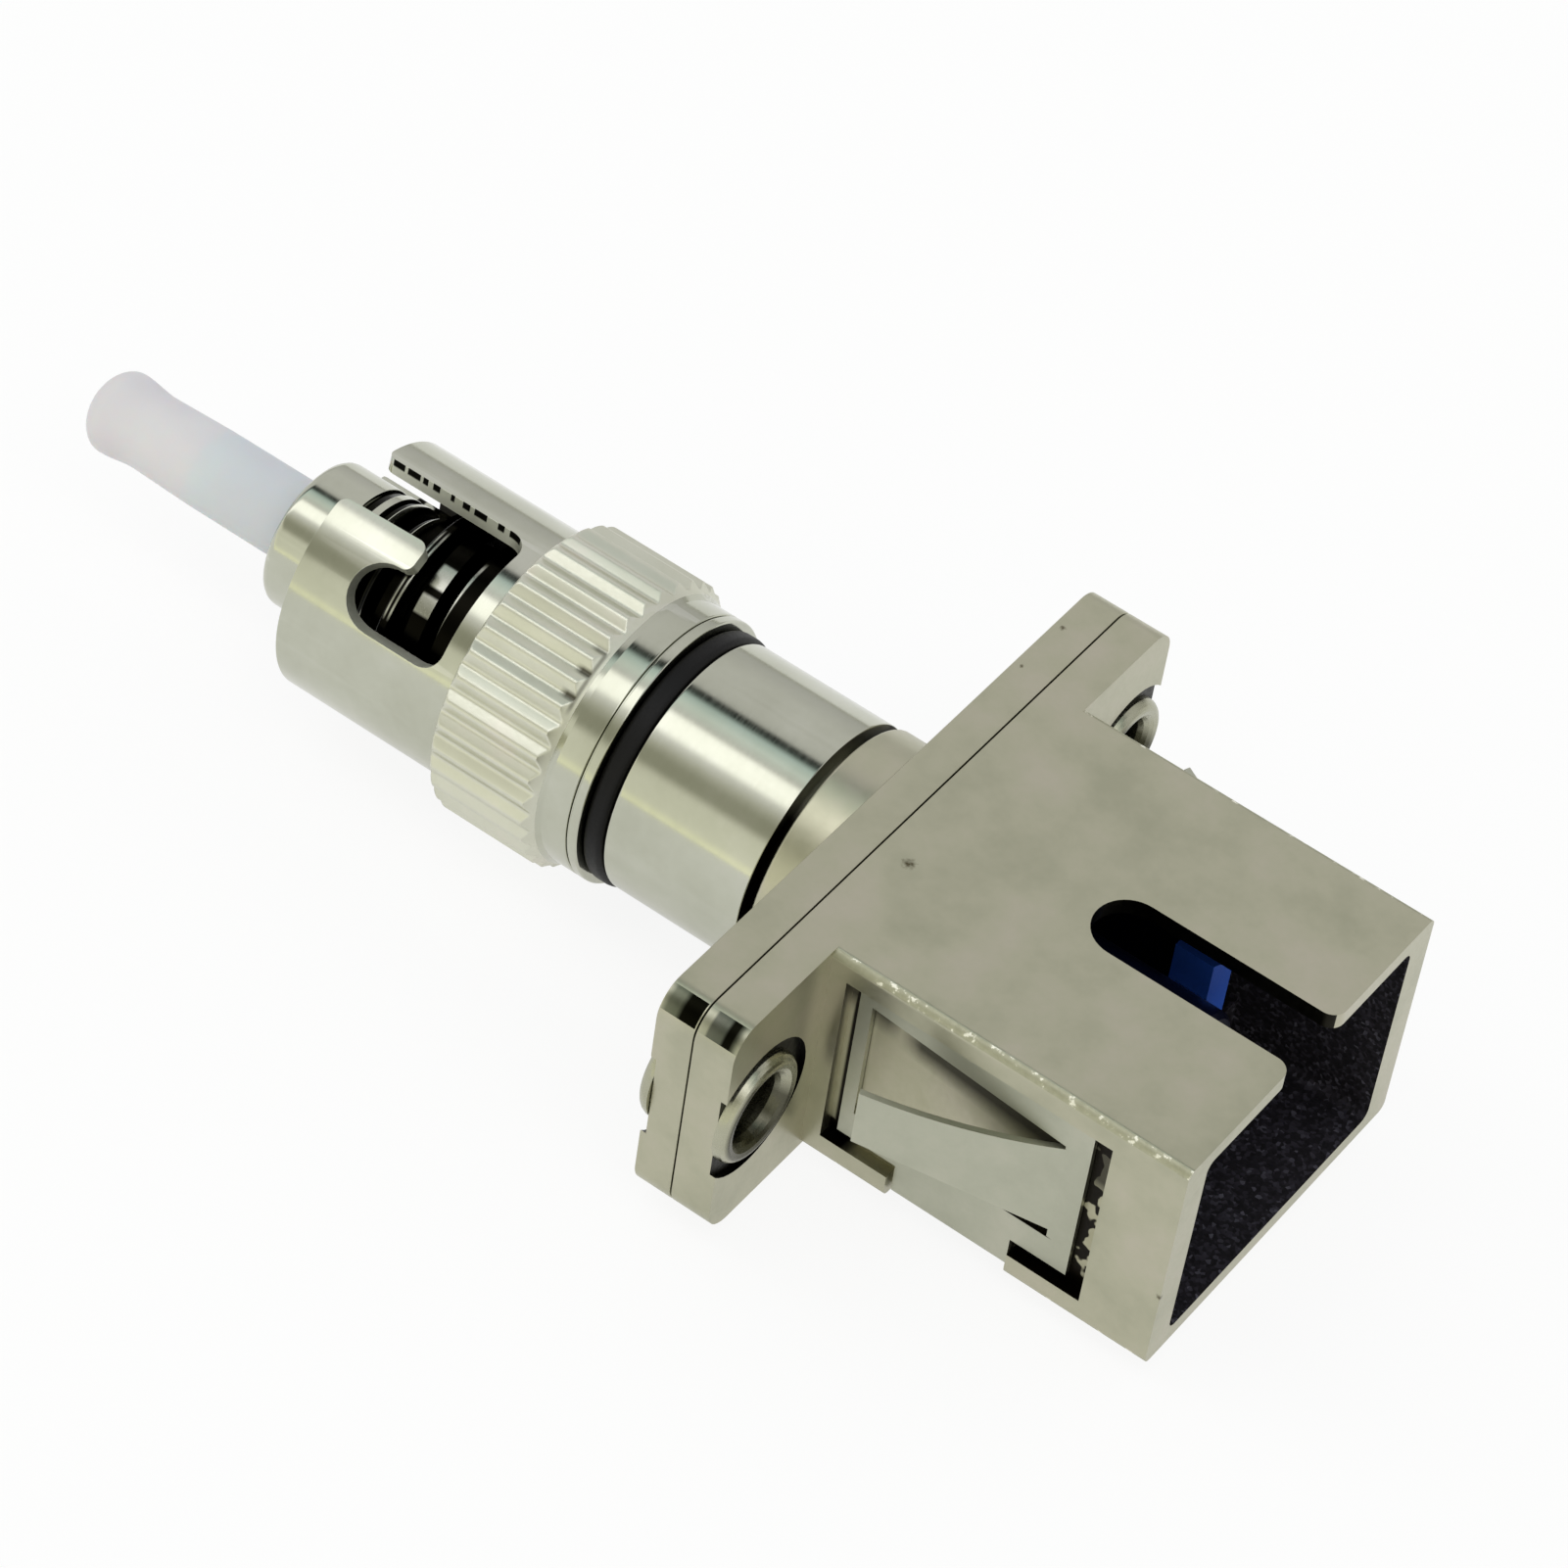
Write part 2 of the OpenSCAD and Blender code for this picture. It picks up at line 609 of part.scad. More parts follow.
module plug_flange() {
    spigot_r = tube_bore_r + 0.35 + fit_gap;
    color(nickel) difference() {
        union() {
            along_x(-flange_back_t, -flange_gap / 2)
                rounded_rect(flange_w, housing_h, flange_corner_r);
            turned(concat([[0, boss_x]],
                low_corner(boss_r, boss_x, boss_edge_r),
                [[boss_r, -flange_back_t + eps],
                [0, -flange_back_t + eps]]));
        }
        rotate([0, 90, 0]) translate([0, 0, boss_x - eps])
            cylinder(h = spigot_len + 2 * eps, r = spigot_r);
        rotate([0, 90, 0]) translate([0, 0, boss_x - eps])
            cylinder(h = boss_len + flange_back_t + 1,
                r = stub_holder_r + fit_gap);
        eyelet_cuts(-flange_back_t, 0, -flange_back_t - eps,
            -flange_back_t + eyelet_seat_depth);
    }
}

// The keyway seen from above, with its round end and its rounded mouth
module keyway_shape() {
    end_x = housing_len - key_len;
    flare_x = housing_len - key_corner_r;
    translate([end_x + key_w / 2, 0]) circle(key_w / 2, $fn = 64);
    translate([end_x + key_w / 2, -key_w / 2])
        square([key_len - key_w / 2 + eps, key_w]);
    difference() {
        translate([flare_x, -key_w / 2 - key_corner_r])
            square([key_corner_r + eps, key_w + 2 * key_corner_r]);
        for (side = [-1, 1])
            translate([flare_x, side * (key_w / 2 + key_corner_r)])
                circle(key_corner_r, $fn = 48);
    }
}

// The recesses for the panel clip, in both sides and under the housing
module clip_cuts() {
    for (side = [-1, 1]) {
        translate([clip_seat_x, side > 0 ? clip_floor_y : -clip_floor_y - 5,
            -clip_seat_h / 2])
            cube([clip_seat_len, 5, clip_seat_h]);
        translate([band_x - 0.1, side > 0 ? clip_floor_y : -clip_floor_y - 5,
            -housing_h])
            cube([band_w + 0.2, 5, housing_h]);
    }
    translate([band_x - 0.1, -housing_w, -housing_h])
        cube([band_w + 0.2, 2 * housing_w, housing_h + band_floor_z]);
}

module socket_housing() {
    rib_h = (port_h - guide_clear_h) / 2;
    rib_t = (port_w - guide_gap) / 2;
    color(nickel) difference() {
        union() {
            along_x(flange_gap / 2, flange_front_t)
                rounded_rect(flange_w, housing_h, flange_corner_r);
            difference() {
                along_x(flange_gap / 2 + eps, housing_len)
                    rounded_rect(housing_w, housing_h, housing_edge_r);
                along_x(port_x, housing_len + eps)
                    rounded_rect(port_w, port_h, port_corner_r);
                clip_cuts();
            }
            for (sy = [-1, 1], sz = [-1, 1])
                translate([port_x - eps, sy * (port_w - rib_t) / 2,
                    sz * (port_h - rib_h) / 2])
                    translate([0, -rib_t / 2 - eps, -rib_h / 2 - eps])
                        cube([guide_len, rib_t + 2 * eps, rib_h + 2 * eps]);
        }
        translate([0, 0, guide_clear_h / 2]) linear_extrude(housing_h)
            keyway_shape();
        rotate([0, 90, 0])
            cylinder(h = port_x + eps, r = stub_holder_r + fit_gap);
        eyelet_cuts(0, flange_front_t, flange_front_t - eyelet_seat_depth,
            flange_front_t + eps);
    }
}

// One side of the panel clip: a frame with a window and the wing in it
module clip_side() {
    frame_low = -clip_seat_h / 2 + clip_edge_gap;
    frame_top = clip_seat_h / 2 - clip_edge_gap / 2;
    wing_low = -wing_root_h / 2 + 0.2;
    wing_top = wing_low + wing_root_h;
    bend = clip_bend_in_r + clip_t;
    difference() {
        along_y(clip_out_y - clip_t, clip_out_y) {
            translate([clip_x, frame_low])
                square([clip_end_x - clip_x, frame_top - frame_low]);
            translate([band_x, band_out_z + bend])
                square([band_w, frame_low - band_out_z]);
        }
        along_y(clip_out_y - clip_t - eps, clip_out_y + eps)
            polygon([[window_x, wing_low - wing_slit_h],
                [window_end_x, wing_low - wing_slit_h],
                [window_end_x, wing_top + 0.1],
                [window_x, wing_top + 0.75]]);
    }
    translate([window_end_x, clip_out_y - clip_t, 0])
        rotate([0, 0, -wing_angle]) mirror([1, 0, 0])
            along_y(0, clip_t) polygon(concat([[-0.1, wing_low],
                [wing_len, wing_top - wing_tip_h]],
                [for (t = [1:-0.1:0]) [wing_len * t,
                    wing_top - 4 * wing_sag * t * (1 - t)]],
                [[-0.1, wing_top]]));
    translate([band_x, clip_out_y - bend, band_out_z + bend])
        rotate([0, 90, 0]) rotate_extrude(angle = 90, $fn = 48)
            translate([bend - clip_t, 0]) square([clip_t, band_w]);
}

module panel_clip() {
    bend = clip_bend_in_r + clip_t;
    color(steel) {
        clip_side();
        mirror([0, 1, 0]) clip_side();
        translate([band_x, -clip_out_y + bend, band_out_z])
            cube([band_w, 2 * (clip_out_y - bend), clip_t]);
    }
}

// A hollow eyelet through both flange halves, with a rolled head each side
module eyelet(side) {
    shank_r = eyelet_bore_r + eyelet_wall;
    front_x = flange_front_t - eyelet_seat_depth + face_gap / 2;
    back_x = -flange_back_t + eyelet_seat_depth - face_gap / 2;
    crest_r = eyelet_head_r - 0.3;
    dome = [for (a = [0:18:90]) [crest_r + (eyelet_head_r - crest_r)
        * cos(a), eyelet_head_t * sin(a)]];
    funnel = [for (a = [18:18:90]) [crest_r - (crest_r - eyelet_bore_r)
        * sin(a), eyelet_head_t - eyelet_funnel * (1 - cos(a))]];
    head = concat(dome, funnel);
    last = len(head) - 1;
    color(steel) translate([0, side * hole_pitch / 2, 0])
        turned(concat([for (p = head) [p[0], front_x + p[1]]],
            [for (i = [last:-1:0]) [head[i][0], back_x - head[i][1]]],
            [[shank_r, back_x], [shank_r, front_x]]));
}

module eyelet_left() {
    eyelet(-1);
}

module eyelet_right() {
    eyelet(1);
}

// One latch arm with its hook, on the +Y side
module latch_arm() {
    hook_x = arm_end_x - hook_len;
    translate([0, 0, -arm_h / 2]) linear_extrude(arm_h)
        polygon([[holder_front_x - eps, arm_y], [hook_x, arm_y],
            [hook_x, arm_y - hook_h], [arm_end_x - 0.25, arm_y - hook_h],
            [arm_end_x, arm_y - 0.05], [arm_end_x - 0.45, arm_y + arm_t - 0.1],
            [arm_end_x - 0.6, arm_y + arm_t],
            [holder_front_x - eps, arm_y + arm_t]]);
}

module sleeve_holder() {
    gap = 0.1;
    rib_h = (port_h - guide_clear_h) / 2;
    bore_r = sleeve_r + run_gap / 2;
    color("#1c3f96") difference() {
        union() {
            along_x(holder_x, holder_front_x) {
                square([guide_gap - 2 * gap, port_h - 2 * gap], center = true);
                square([port_w - 2 * gap, port_h - 2 * rib_h - 2 * gap],
                    center = true);
            }
            soft_ring(holder_tube_r, sleeve_r - 0.1, holder_front_x - eps,
                tube_front_x, 0.15);
            latch_arm();
            mirror([0, 1, 0]) latch_arm();
        }
        rotate([0, 90, 0]) translate([0, 0, holder_x - eps])
            cylinder(h = sleeve_end_x + face_gap - holder_x + eps, r = bore_r);
        rotate([0, 90, 0]) translate([0, 0, holder_x - eps])
            cylinder(h = tube_front_x, r = ferrule_r + 0.2);
    }
}

module alignment_sleeve() {
    color("#e9ece8") difference() {
        ring(sleeve_r, ferrule_r + fit_gap, sleeve_x, sleeve_end_x);
        translate([sleeve_x - eps, -sleeve_slit / 2, -sleeve_r - 1])
            cube([sleeve_len + 2 * eps, sleeve_slit, sleeve_r]);
    }
}

module stub_ferrule() {
    color("#eef0ee") ferrule_rod(stub_back_x + 0.6, stub_x);
}

module stub_holder() {
    color(steel) turned([[fibre_r + fit_gap, stub_back_x],
        [stub_holder_r, stub_back_x], [stub_holder_r, port_x],
        [ferrule_r + fit_gap, port_x],
        [ferrule_r + fit_gap, stub_back_x + 0.6 - face_gap],
        [fibre_r + fit_gap, stub_back_x + 0.6 - face_gap]]);
}

module fibre_link() {
    color("#d8d3c0") rotate([0, 90, 0])
        translate([0, 0, ferrule_end_x + 2 * face_gap])
            cylinder(h = stub_back_x + 0.5 - ferrule_end_x, r = fibre_r,
                $fn = 32);
}

coupling_nut();
nut_tail_ring();
spring_washer_rear();
coupling_spring();
spring_washer_front();
snap_ring();
plug_barrel();
ferrule();
ferrule_seat();
ferrule_cap();
bumper_ring();
body_tube();
plug_flange();
socket_housing();
panel_clip();
eyelet_left();
eyelet_right();
sleeve_holder();
alignment_sleeve();
stub_ferrule();
stub_holder();
fibre_link();
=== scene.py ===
# Hybrid fibre adapter: a bayonet plug with a capped ceramic ferrule on one
# end, a riveted flange, and a push-in socket with a sprung panel clip.
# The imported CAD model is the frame. Lengths are written in millimetres and
# turned to metres when a piece is finished. X runs along the optical axis,
# from the plug at -X to the socket mouth at +X, and Z is up.
import math

import bmesh
import bpy
from mathutils import Matrix, Vector


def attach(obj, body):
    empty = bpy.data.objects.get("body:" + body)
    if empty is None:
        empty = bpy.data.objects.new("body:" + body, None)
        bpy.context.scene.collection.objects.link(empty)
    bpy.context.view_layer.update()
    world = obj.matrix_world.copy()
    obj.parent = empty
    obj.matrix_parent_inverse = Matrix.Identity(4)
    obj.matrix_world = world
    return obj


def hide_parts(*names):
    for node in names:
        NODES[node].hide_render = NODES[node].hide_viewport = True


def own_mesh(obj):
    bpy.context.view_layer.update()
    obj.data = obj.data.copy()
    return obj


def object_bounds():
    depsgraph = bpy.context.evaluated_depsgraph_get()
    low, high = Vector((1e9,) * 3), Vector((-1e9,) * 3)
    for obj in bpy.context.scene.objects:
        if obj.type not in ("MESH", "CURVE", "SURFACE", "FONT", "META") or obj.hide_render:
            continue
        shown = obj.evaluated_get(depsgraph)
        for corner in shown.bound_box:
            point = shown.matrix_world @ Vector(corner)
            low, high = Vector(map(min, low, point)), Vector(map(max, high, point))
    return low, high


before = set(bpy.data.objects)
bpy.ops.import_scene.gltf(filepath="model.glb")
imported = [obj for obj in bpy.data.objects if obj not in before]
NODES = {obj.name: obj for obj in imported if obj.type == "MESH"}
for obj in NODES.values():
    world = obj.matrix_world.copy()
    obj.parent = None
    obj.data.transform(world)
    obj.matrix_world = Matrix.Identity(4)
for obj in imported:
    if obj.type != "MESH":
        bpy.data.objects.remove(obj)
CAD_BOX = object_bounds()
MM = 0.001

# Sizes of the pieces, in millimetres, as the CAD source has them
NUT_R, NUT_BORE_R, KNURL_R, COLLAR_R = 4.255, 3.72, 4.95, 4.53
NUT_X, SLOT_REAR_X, NUT_BACK_X, COLLAR_X = -20.5, -14.95, -9.2, -10.1
KNURL_X, KNURL_BACK_X, KNURL_TEETH, KNURL_DEPTH = -14.2, -10.55, 36, 0.2
TAIL_X, TUBE_X, TUBE_END_X, BOSS_X = -8.8, -8.06, -3.13, -2.8
TUBE_R, BUMPER_R, BOSS_R, BARREL_R = 4.214, 4.3, 4.28, 2.5
HALF_W, HALF_H, HOUSE_W, MOUTH_X = 11.0, 4.3, 6.4, 13.7
RECESS_Y, RECESS_LOW_Z = 5.95, -3.4
EYELET_Y = 9.3

# Small nicks in the casting: place and radius
NICKS = [
    ((-1.02, 8.58, 4.3), 0.13), ((-1.04, 6.44, 4.3), 0.09),
    ((1.06, -2.23, 4.3), 0.26), ((13.35, -6.4, 4.2), 0.2),
    ((13.68, -6.38, -1.2), 0.15)]


# ---------------------------------------------------------------- materials

def linear(code):
    """An sRGB hex colour as linear RGBA."""
    parts = [int(code[i:i + 2], 16) / 255 for i in (1, 3, 5)]
    return [p / 12.92 if p <= 0.04045 else ((p + 0.055) / 1.055) ** 2.4
            for p in parts] + [1.0]


def add(mat, kind, settings=None, links=None):
    """Adds a shader node: settings by name, and inputs by name or number."""
    made = mat.node_tree.nodes.new("ShaderNode" + kind)
    for key, value in (settings or {}).items():
        setattr(made, key, value)
    for key, value in (links or {}).items():
        if isinstance(value, bpy.types.NodeSocket):
            mat.node_tree.links.new(value, made.inputs[key])
        else:
            made.inputs[key].default_value = value
    return made


def ramp(mat, factor, stops):
    """A colour ramp from (position, hex colour) stops."""
    made = add(mat, "ValToRGB", links={"Fac": factor})
    band = made.color_ramp
    while len(band.elements) < len(stops):
        band.elements.new(0.5)
    for element, (place, code) in zip(band.elements, stops):
        element.position = place
        element.color = linear(code)
    return made.outputs["Color"]


def new_material(name):
    mat = bpy.data.materials.new(name)
    mat.use_nodes = True
    shader = mat.node_tree.nodes["Principled BSDF"]
    return mat, shader


def metal(name, stops, rough, grain_mm, depth_mm, along=(1, 1, 1),
          wave_mm=0.0, wave_depth=0.0, worn=None, stain_or_shade=None,
          stain_or_shade_colour="#0a0907", cloud_mm=2.6):
    """Nickel plate or bare steel. Clouds a few millimetres wide shift its
    warm grey, and the grain or the turning marks blur what it mirrors. With
    a worn colour the outer edges are rubbed brighter, which suits only
    pieces without long thin faces. The stain or shade is a mask, from 0 to
    1, of the places painted in its dark colour: real nicks and burrs on some
    pieces, painted shade on others."""
    mat, shader = new_material(name)
    link = mat.node_tree.links.new
    place = add(mat, "TexCoord").outputs["Object"]
    clouds = add(mat, "TexNoise", links={
        "Vector": place, "Scale": 1 / (cloud_mm * MM), "Detail": 4.0,
        "Roughness": 0.6})
    tone = ramp(mat, clouds.outputs["Fac"], stops)
    if worn:
        edge = add(mat, "NewGeometry").outputs["Pointiness"]
        rubbed = add(mat, "MapRange", links={
            "Value": edge, "From Min": 0.52, "From Max": 0.6,
            "To Min": 0.0, "To Max": 0.5})
        tone = add(mat, "Mix", {"data_type": "RGBA"}, {
            0: rubbed.outputs["Result"], 6: tone,
            7: linear(worn)}).outputs[2]
    if stain_or_shade:
        tone = add(mat, "Mix", {"data_type": "RGBA"}, {
            0: stain_or_shade(mat, place), 6: tone, 7: linear(stain_or_shade_colour)}).outputs[2]
    link(tone, shader.inputs["Base Color"])
    shader.inputs["Metallic"].default_value = 1.0
    moved = add(mat, "Mapping", {"vector_type": "POINT"},
                {"Vector": place, "Scale": along})
    grain = add(mat, "TexNoise", links={
        "Vector": moved.outputs["Vector"], "Scale": 1 / (grain_mm * MM),
        "Detail": 2.0, "Roughness": 0.6})
    spread = add(mat, "MapRange", links={
        "Value": grain.outputs["Fac"], "From Min": 0.3, "From Max": 0.7,
        "To Min": rough[0], "To Max": rough[1]})
    link(spread.outputs["Result"], shader.inputs["Roughness"])
    bump = add(mat, "Bump", links={
        "Height": grain.outputs["Fac"], "Strength": 0.3,
        "Distance": depth_mm * MM})
    last = bump
    if wave_mm:
        wave = add(mat, "TexNoise", links={
            "Vector": place, "Scale": 1 / (wave_mm * MM), "Detail": 1.0})
        last = add(mat, "Bump", links={
            "Height": wave.outputs["Fac"], "Strength": 0.5,
            "Distance": wave_depth * MM, "Normal": bump.outputs["Normal"]})
    link(last.outputs["Normal"], shader.inputs["Normal"])
    return mat


def moulded(name, stops, rough, grain_mm, depth_mm, sockets=None,
            cloud_mm=1.8, painted_shade=None):
    """Moulded plastic, rubber or ceramic with a slightly cloudy tone and the
    fine grain of its mould. A dark colour painted as shade holds below one
    place along X, ends at another, and covers the inner tube."""
    mat, shader = new_material(name)
    link = mat.node_tree.links.new
    place = add(mat, "TexCoord").outputs["Object"]
    clouds = add(mat, "TexNoise", links={
        "Vector": place, "Scale": 1 / (cloud_mm * MM), "Detail": 2.0})
    tone = ramp(mat, clouds.outputs["Fac"], stops)
    # Painted shade: a dark colour for the unlit rear and inner tube.
    if painted_shade:
        parts = add(mat, "SeparateXYZ", links={0: place})
        dark = most(mat, between(mat, parts.outputs["X"], painted_shade[1], painted_shade[0]),
                    between(mat, radius(mat, parts), 2.4, 2.3))
        tone = add(mat, "Mix", {"data_type": "RGBA"}, {
            0: dark, 6: tone, 7: linear(painted_shade[2])}).outputs[2]
    link(tone, shader.inputs["Base Color"])
    grain = add(mat, "TexNoise", links={
        "Vector": place, "Scale": 1 / (grain_mm * MM), "Detail": 2.0})
    spread = add(mat, "MapRange", links={
        "Value": grain.outputs["Fac"], "From Min": 0.3, "From Max": 0.7,
        "To Min": rough[0], "To Max": rough[1]})
    link(spread.outputs["Result"], shader.inputs["Roughness"])
    bump = add(mat, "Bump", links={
        "Height": grain.outputs["Fac"], "Strength": 0.4,
        "Distance": depth_mm * MM})
    link(bump.outputs["Normal"], shader.inputs["Normal"])
    for key, value in (sockets or {}).items():
        shader.inputs[key].default_value = value
    return mat


def between(mat, value, low, high):
    """Goes from 0 at the low place to 1 at the high one, in millimetres."""
    return add(mat, "MapRange", links={
        "Value": value, "From Min": low * MM, "From Max": high * MM,
        "To Min": 0.0, "To Max": 1.0}).outputs["Result"]


def most(mat, *masks):
    """The strongest of some masks."""
    best = masks[0]
    for mask in masks[1:]:
        best = add(mat, "Math", {"operation": "MAXIMUM"},
                   {0: best, 1: mask}).outputs[0]
    return best


def both_of(mat, one, other):
    """Where both masks hold."""
    return add(mat, "Math", {"operation": "MULTIPLY"},
               {0: one, 1: other}).outputs[0]


def half_turn(mat, parts):
    """The angle round the axis from +Y over the top: 1 is half a turn."""
    turn = add(mat, "Math", {"operation": "ARCTAN2"}, {
        0: parts.outputs["Z"], 1: parts.outputs["Y"]})
    return add(mat, "Math", {"operation": "DIVIDE"}, {
        0: turn.outputs[0], 1: math.pi}).outputs[0]


def spans(mat, value, pairs, soft):
    """White where the value, from 0 to 1, is inside one of some spans."""
    stops = [(0.0, "#000000")]
    for start, end in pairs:
        stops += [(start, "#000000"), (start + soft, "#ffffff"),
                  (end - soft, "#ffffff"), (end, "#000000")]
    return ramp(mat, value, stops)


def groove_painted_shade(mat, place):
    """Painted shade in the lower part of a groove: darker towards the bottom."""
    parts = add(mat, "SeparateXYZ", links={0: place})
    return between(mat, parts.outputs["Z"], 3.7, 2.9)


def barrel_painted_shade(mat, place):
    """Painted shade in the barrel's grooves, under the spring and on its two
    flanks beside the round ends of the slots."""
    parts = add(mat, "SeparateXYZ", links={0: place})
    x = parts.outputs["X"]
    along = between(mat, x, -21.4, -17.0)
    dark, light = "#ffffff", "#000000"
    stops = [(0.0, light)]
    for start, end in ((-20.66, -20.32), (-20.02, -19.74), (-19.5, -18.85),
                       (-18.7, -18.5), (-18.05, -17.3)):
        stops += [((start + 21.4) / 4.4, light),
                  ((start + 21.46) / 4.4, dark),
                  ((end + 21.34) / 4.4, dark), ((end + 21.4) / 4.4, light)]
    rings = ramp(mat, along, stops)
    flank = add(mat, "Math", {"operation": "MULTIPLY"}, {
        0: parts.outputs["Y"], 1: parts.outputs["Z"]})
    flanks = add(mat, "MapRange", links={
        "Value": flank.outputs[0], "From Min": -1.5 * MM * MM,
        "From Max": -2.2 * MM * MM, "To Min": 0.0, "To Max": 1.0})
    inside = both_of(mat, flanks.outputs["Result"],
                     between(mat, x, -20.4, -20.2))
    return most(mat, rings, inside, between(mat, x, -17.75, -17.6))


def recess_painted_shade(mat, place):
    """Painted shade on the floor of the clip's recess: black round the clip's
    plate, with a ragged end towards the mouth, and a brown painted shadow
    under the upper edge of the window."""
    parts = add(mat, "SeparateXYZ", links={0: place})
    x, z = parts.outputs["X"], parts.outputs["Z"]
    rough = add(mat, "TexNoise", links={
        "Vector": place, "Scale": 1 / (0.45 * MM), "Detail": 1.0})
    torn = add(mat, "Math", {"operation": "MULTIPLY_ADD"}, {
        0: rough.outputs["Fac"], 1: 1.6 * MM, 2: x})
    after = both_of(mat, between(mat, x, 10.0, 10.1),
                    between(mat, torn.outputs[0], 11.72, 11.64))
    before = both_of(mat, between(mat, x, 2.12, 2.2),
                     between(mat, x, 2.7, 2.6))
    slope = add(mat, "Math", {"operation": "MULTIPLY_ADD"}, {
        0: x, 1: 0.12, 2: z})
    band = both_of(mat, between(mat, slope.outputs[0], 1.95, 2.65),
                   between(mat, x, 3.7, 4.5))
    corner = both_of(mat, between(mat, slope.outputs[0], 2.1, 2.9),
                     between(mat, x, 3.9, 3.3))
    shade = add(mat, "Math", {"operation": "MULTIPLY"}, {
        0: most(mat, band, corner), 1: 0.85})
    low = both_of(mat, between(mat, z, -2.85, -2.95),
                  most(mat, between(mat, x, 3.1, 2.7),
                       between(mat, x, 7.0, 7.4)))
    return most(mat, before, after, shade.outputs[0], low)


def nicks(mat, place):
    """The few small nicks of the casting, with ragged and faint edges."""
    torn = add(mat, "TexNoise", links={
        "Vector": place, "Scale": 1 / (0.12 * MM), "Detail": 1.0})
    marks = []
    for spot, size in NICKS:
        off = add(mat, "VectorMath", {"operation": "DISTANCE"}, {
            0: place, 1: [c * MM for c in spot]})
        ragged = add(mat, "Math", {"operation": "MULTIPLY_ADD"}, {
            0: torn.outputs["Fac"], 1: size * 1.2 * MM,
            2: off.outputs["Value"]})
        marks.append(between(mat, ragged.outputs[0], size * 1.5, size * 0.7))
    return most(mat, *marks)


def slit_painted_shade(mat, place):
    """Painted shade: a thin dark line along the short slit in the clip's wing."""
    parts = add(mat, "SeparateXYZ", links={0: place})
    x, z = parts.outputs["X"], parts.outputs["Z"]
    level = both_of(mat, between(mat, z, -1.96, -1.94),
                    between(mat, z, -1.9, -1.92))
    return both_of(mat, level, both_of(
        mat, between(mat, x, 7.9, 8.3), between(mat, x, 9.9, 9.7)))


def funnel_painted_shade(mat, place):
    """Painted shade in an eyelet's funnel, except on its upper far side."""
    parts = add(mat, "SeparateXYZ", links={0: place})
    side = add(mat, "Math", {"operation": "SIGN"},
               {0: parts.outputs["Y"]})
    y = add(mat, "Math", {"operation": "MULTIPLY_ADD"}, {
        0: side.outputs[0], 1: -EYELET_Y * MM, 2: parts.outputs["Y"]})
    flat = add(mat, "CombineXYZ", links={
        "Y": y.outputs[0], "Z": parts.outputs["Z"]})
    off = add(mat, "VectorMath", {"operation": "LENGTH"},
              {0: flat.outputs[0]})
    upper = add(mat, "Math", {"operation": "ADD"}, {
        0: y.outputs[0], 1: parts.outputs["Z"]})
    dirt = both_of(mat, between(mat, off.outputs["Value"], 1.74, 1.62),
                   between(mat, upper.outputs[0], 1.5, 0.8))
    return add(mat, "Math", {"operation": "MULTIPLY"},
               {0: dirt, 1: 0.78}).outputs[0]


def spring_shade_and_highlights(mat, place):
    """Painted shade on the spring and its rings, except for two patches in
    the upper slot and the thin arcs of their edges, left bright as painted
    highlights."""
    parts = add(mat, "SeparateXYZ", links={0: place})
    x, turn = parts.outputs["X"], half_turn(mat, parts)
    along = between(mat, x, -18.0, -15.0)
    patches = both_of(
        mat, spans(mat, along, [(0.317, 0.633)], 0.03),
        spans(mat, turn, [(0.578, 0.667), (0.689, 0.761)], 0.008))
    arcs = both_of(
        mat, spans(mat, along, [(0.12, 0.148), (0.17, 0.198),
                                (0.653, 0.693)], 0.008),
        spans(mat, turn, [(0.5, 0.82)], 0.03))
    highlit = most(mat, patches, arcs)
    return add(mat, "Math", {"operation": "SUBTRACT"},
               {0: 1.0, 1: highlit}).outputs[0]


def radius(mat, parts):
    """The distance from the axis."""
    flat = add(mat, "CombineXYZ", links={
        "Y": parts.outputs["Y"], "Z": parts.outputs["Z"]})
    return add(mat, "VectorMath", {"operation": "LENGTH"},
               {0: flat.outputs[0]}).outputs["Value"]


def knurl_painted_shade(mat, place):
    """Painted shade in the bottoms of some of the knurl's grooves, at their rear."""
    parts = add(mat, "SeparateXYZ", links={0: place})
    rear = both_of(mat, between(mat, parts.outputs["X"], -10.95, -10.7),
                   between(mat, parts.outputs["X"], -10.3, -10.4))
    some = spans(mat, half_turn(mat, parts), [(0.6, 0.76)], 0.02)
    return both_of(mat, both_of(mat, rear, some),
                   between(mat, radius(mat, parts), 4.83, 4.74))


def lip_burrs(mat, place):
    """Short dark burrs along the outer edge of a slot's far wall."""
    parts = add(mat, "SeparateXYZ", links={0: place})
    line = add(mat, "TexNoise", {"noise_dimensions": "1D"}, {
        "W": add(mat, "Math", {"operation": "MULTIPLY"}, {
            0: parts.outputs["X"], 1: 1 / (0.45 * MM)}).outputs[0],
        "Scale": 1.0, "Detail": 1.0})
    dashes = spans(mat, line.outputs["Fac"], [(0.47, 0.99)], 0.01)
    far = add(mat, "Math", {"operation": "MULTIPLY"}, {
        0: parts.outputs["Y"], 1: parts.outputs["Z"]})
    side = add(mat, "MapRange", links={
        "Value": far.outputs[0], "From Min": 1.0 * MM * MM,
        "From Max": 1.4 * MM * MM, "To Min": 0.0, "To Max": 1.0})
    edge = both_of(mat, between(mat, radius(mat, parts), 4.0, 4.05),
                   side.outputs["Result"])
    return both_of(mat, edge, dashes)


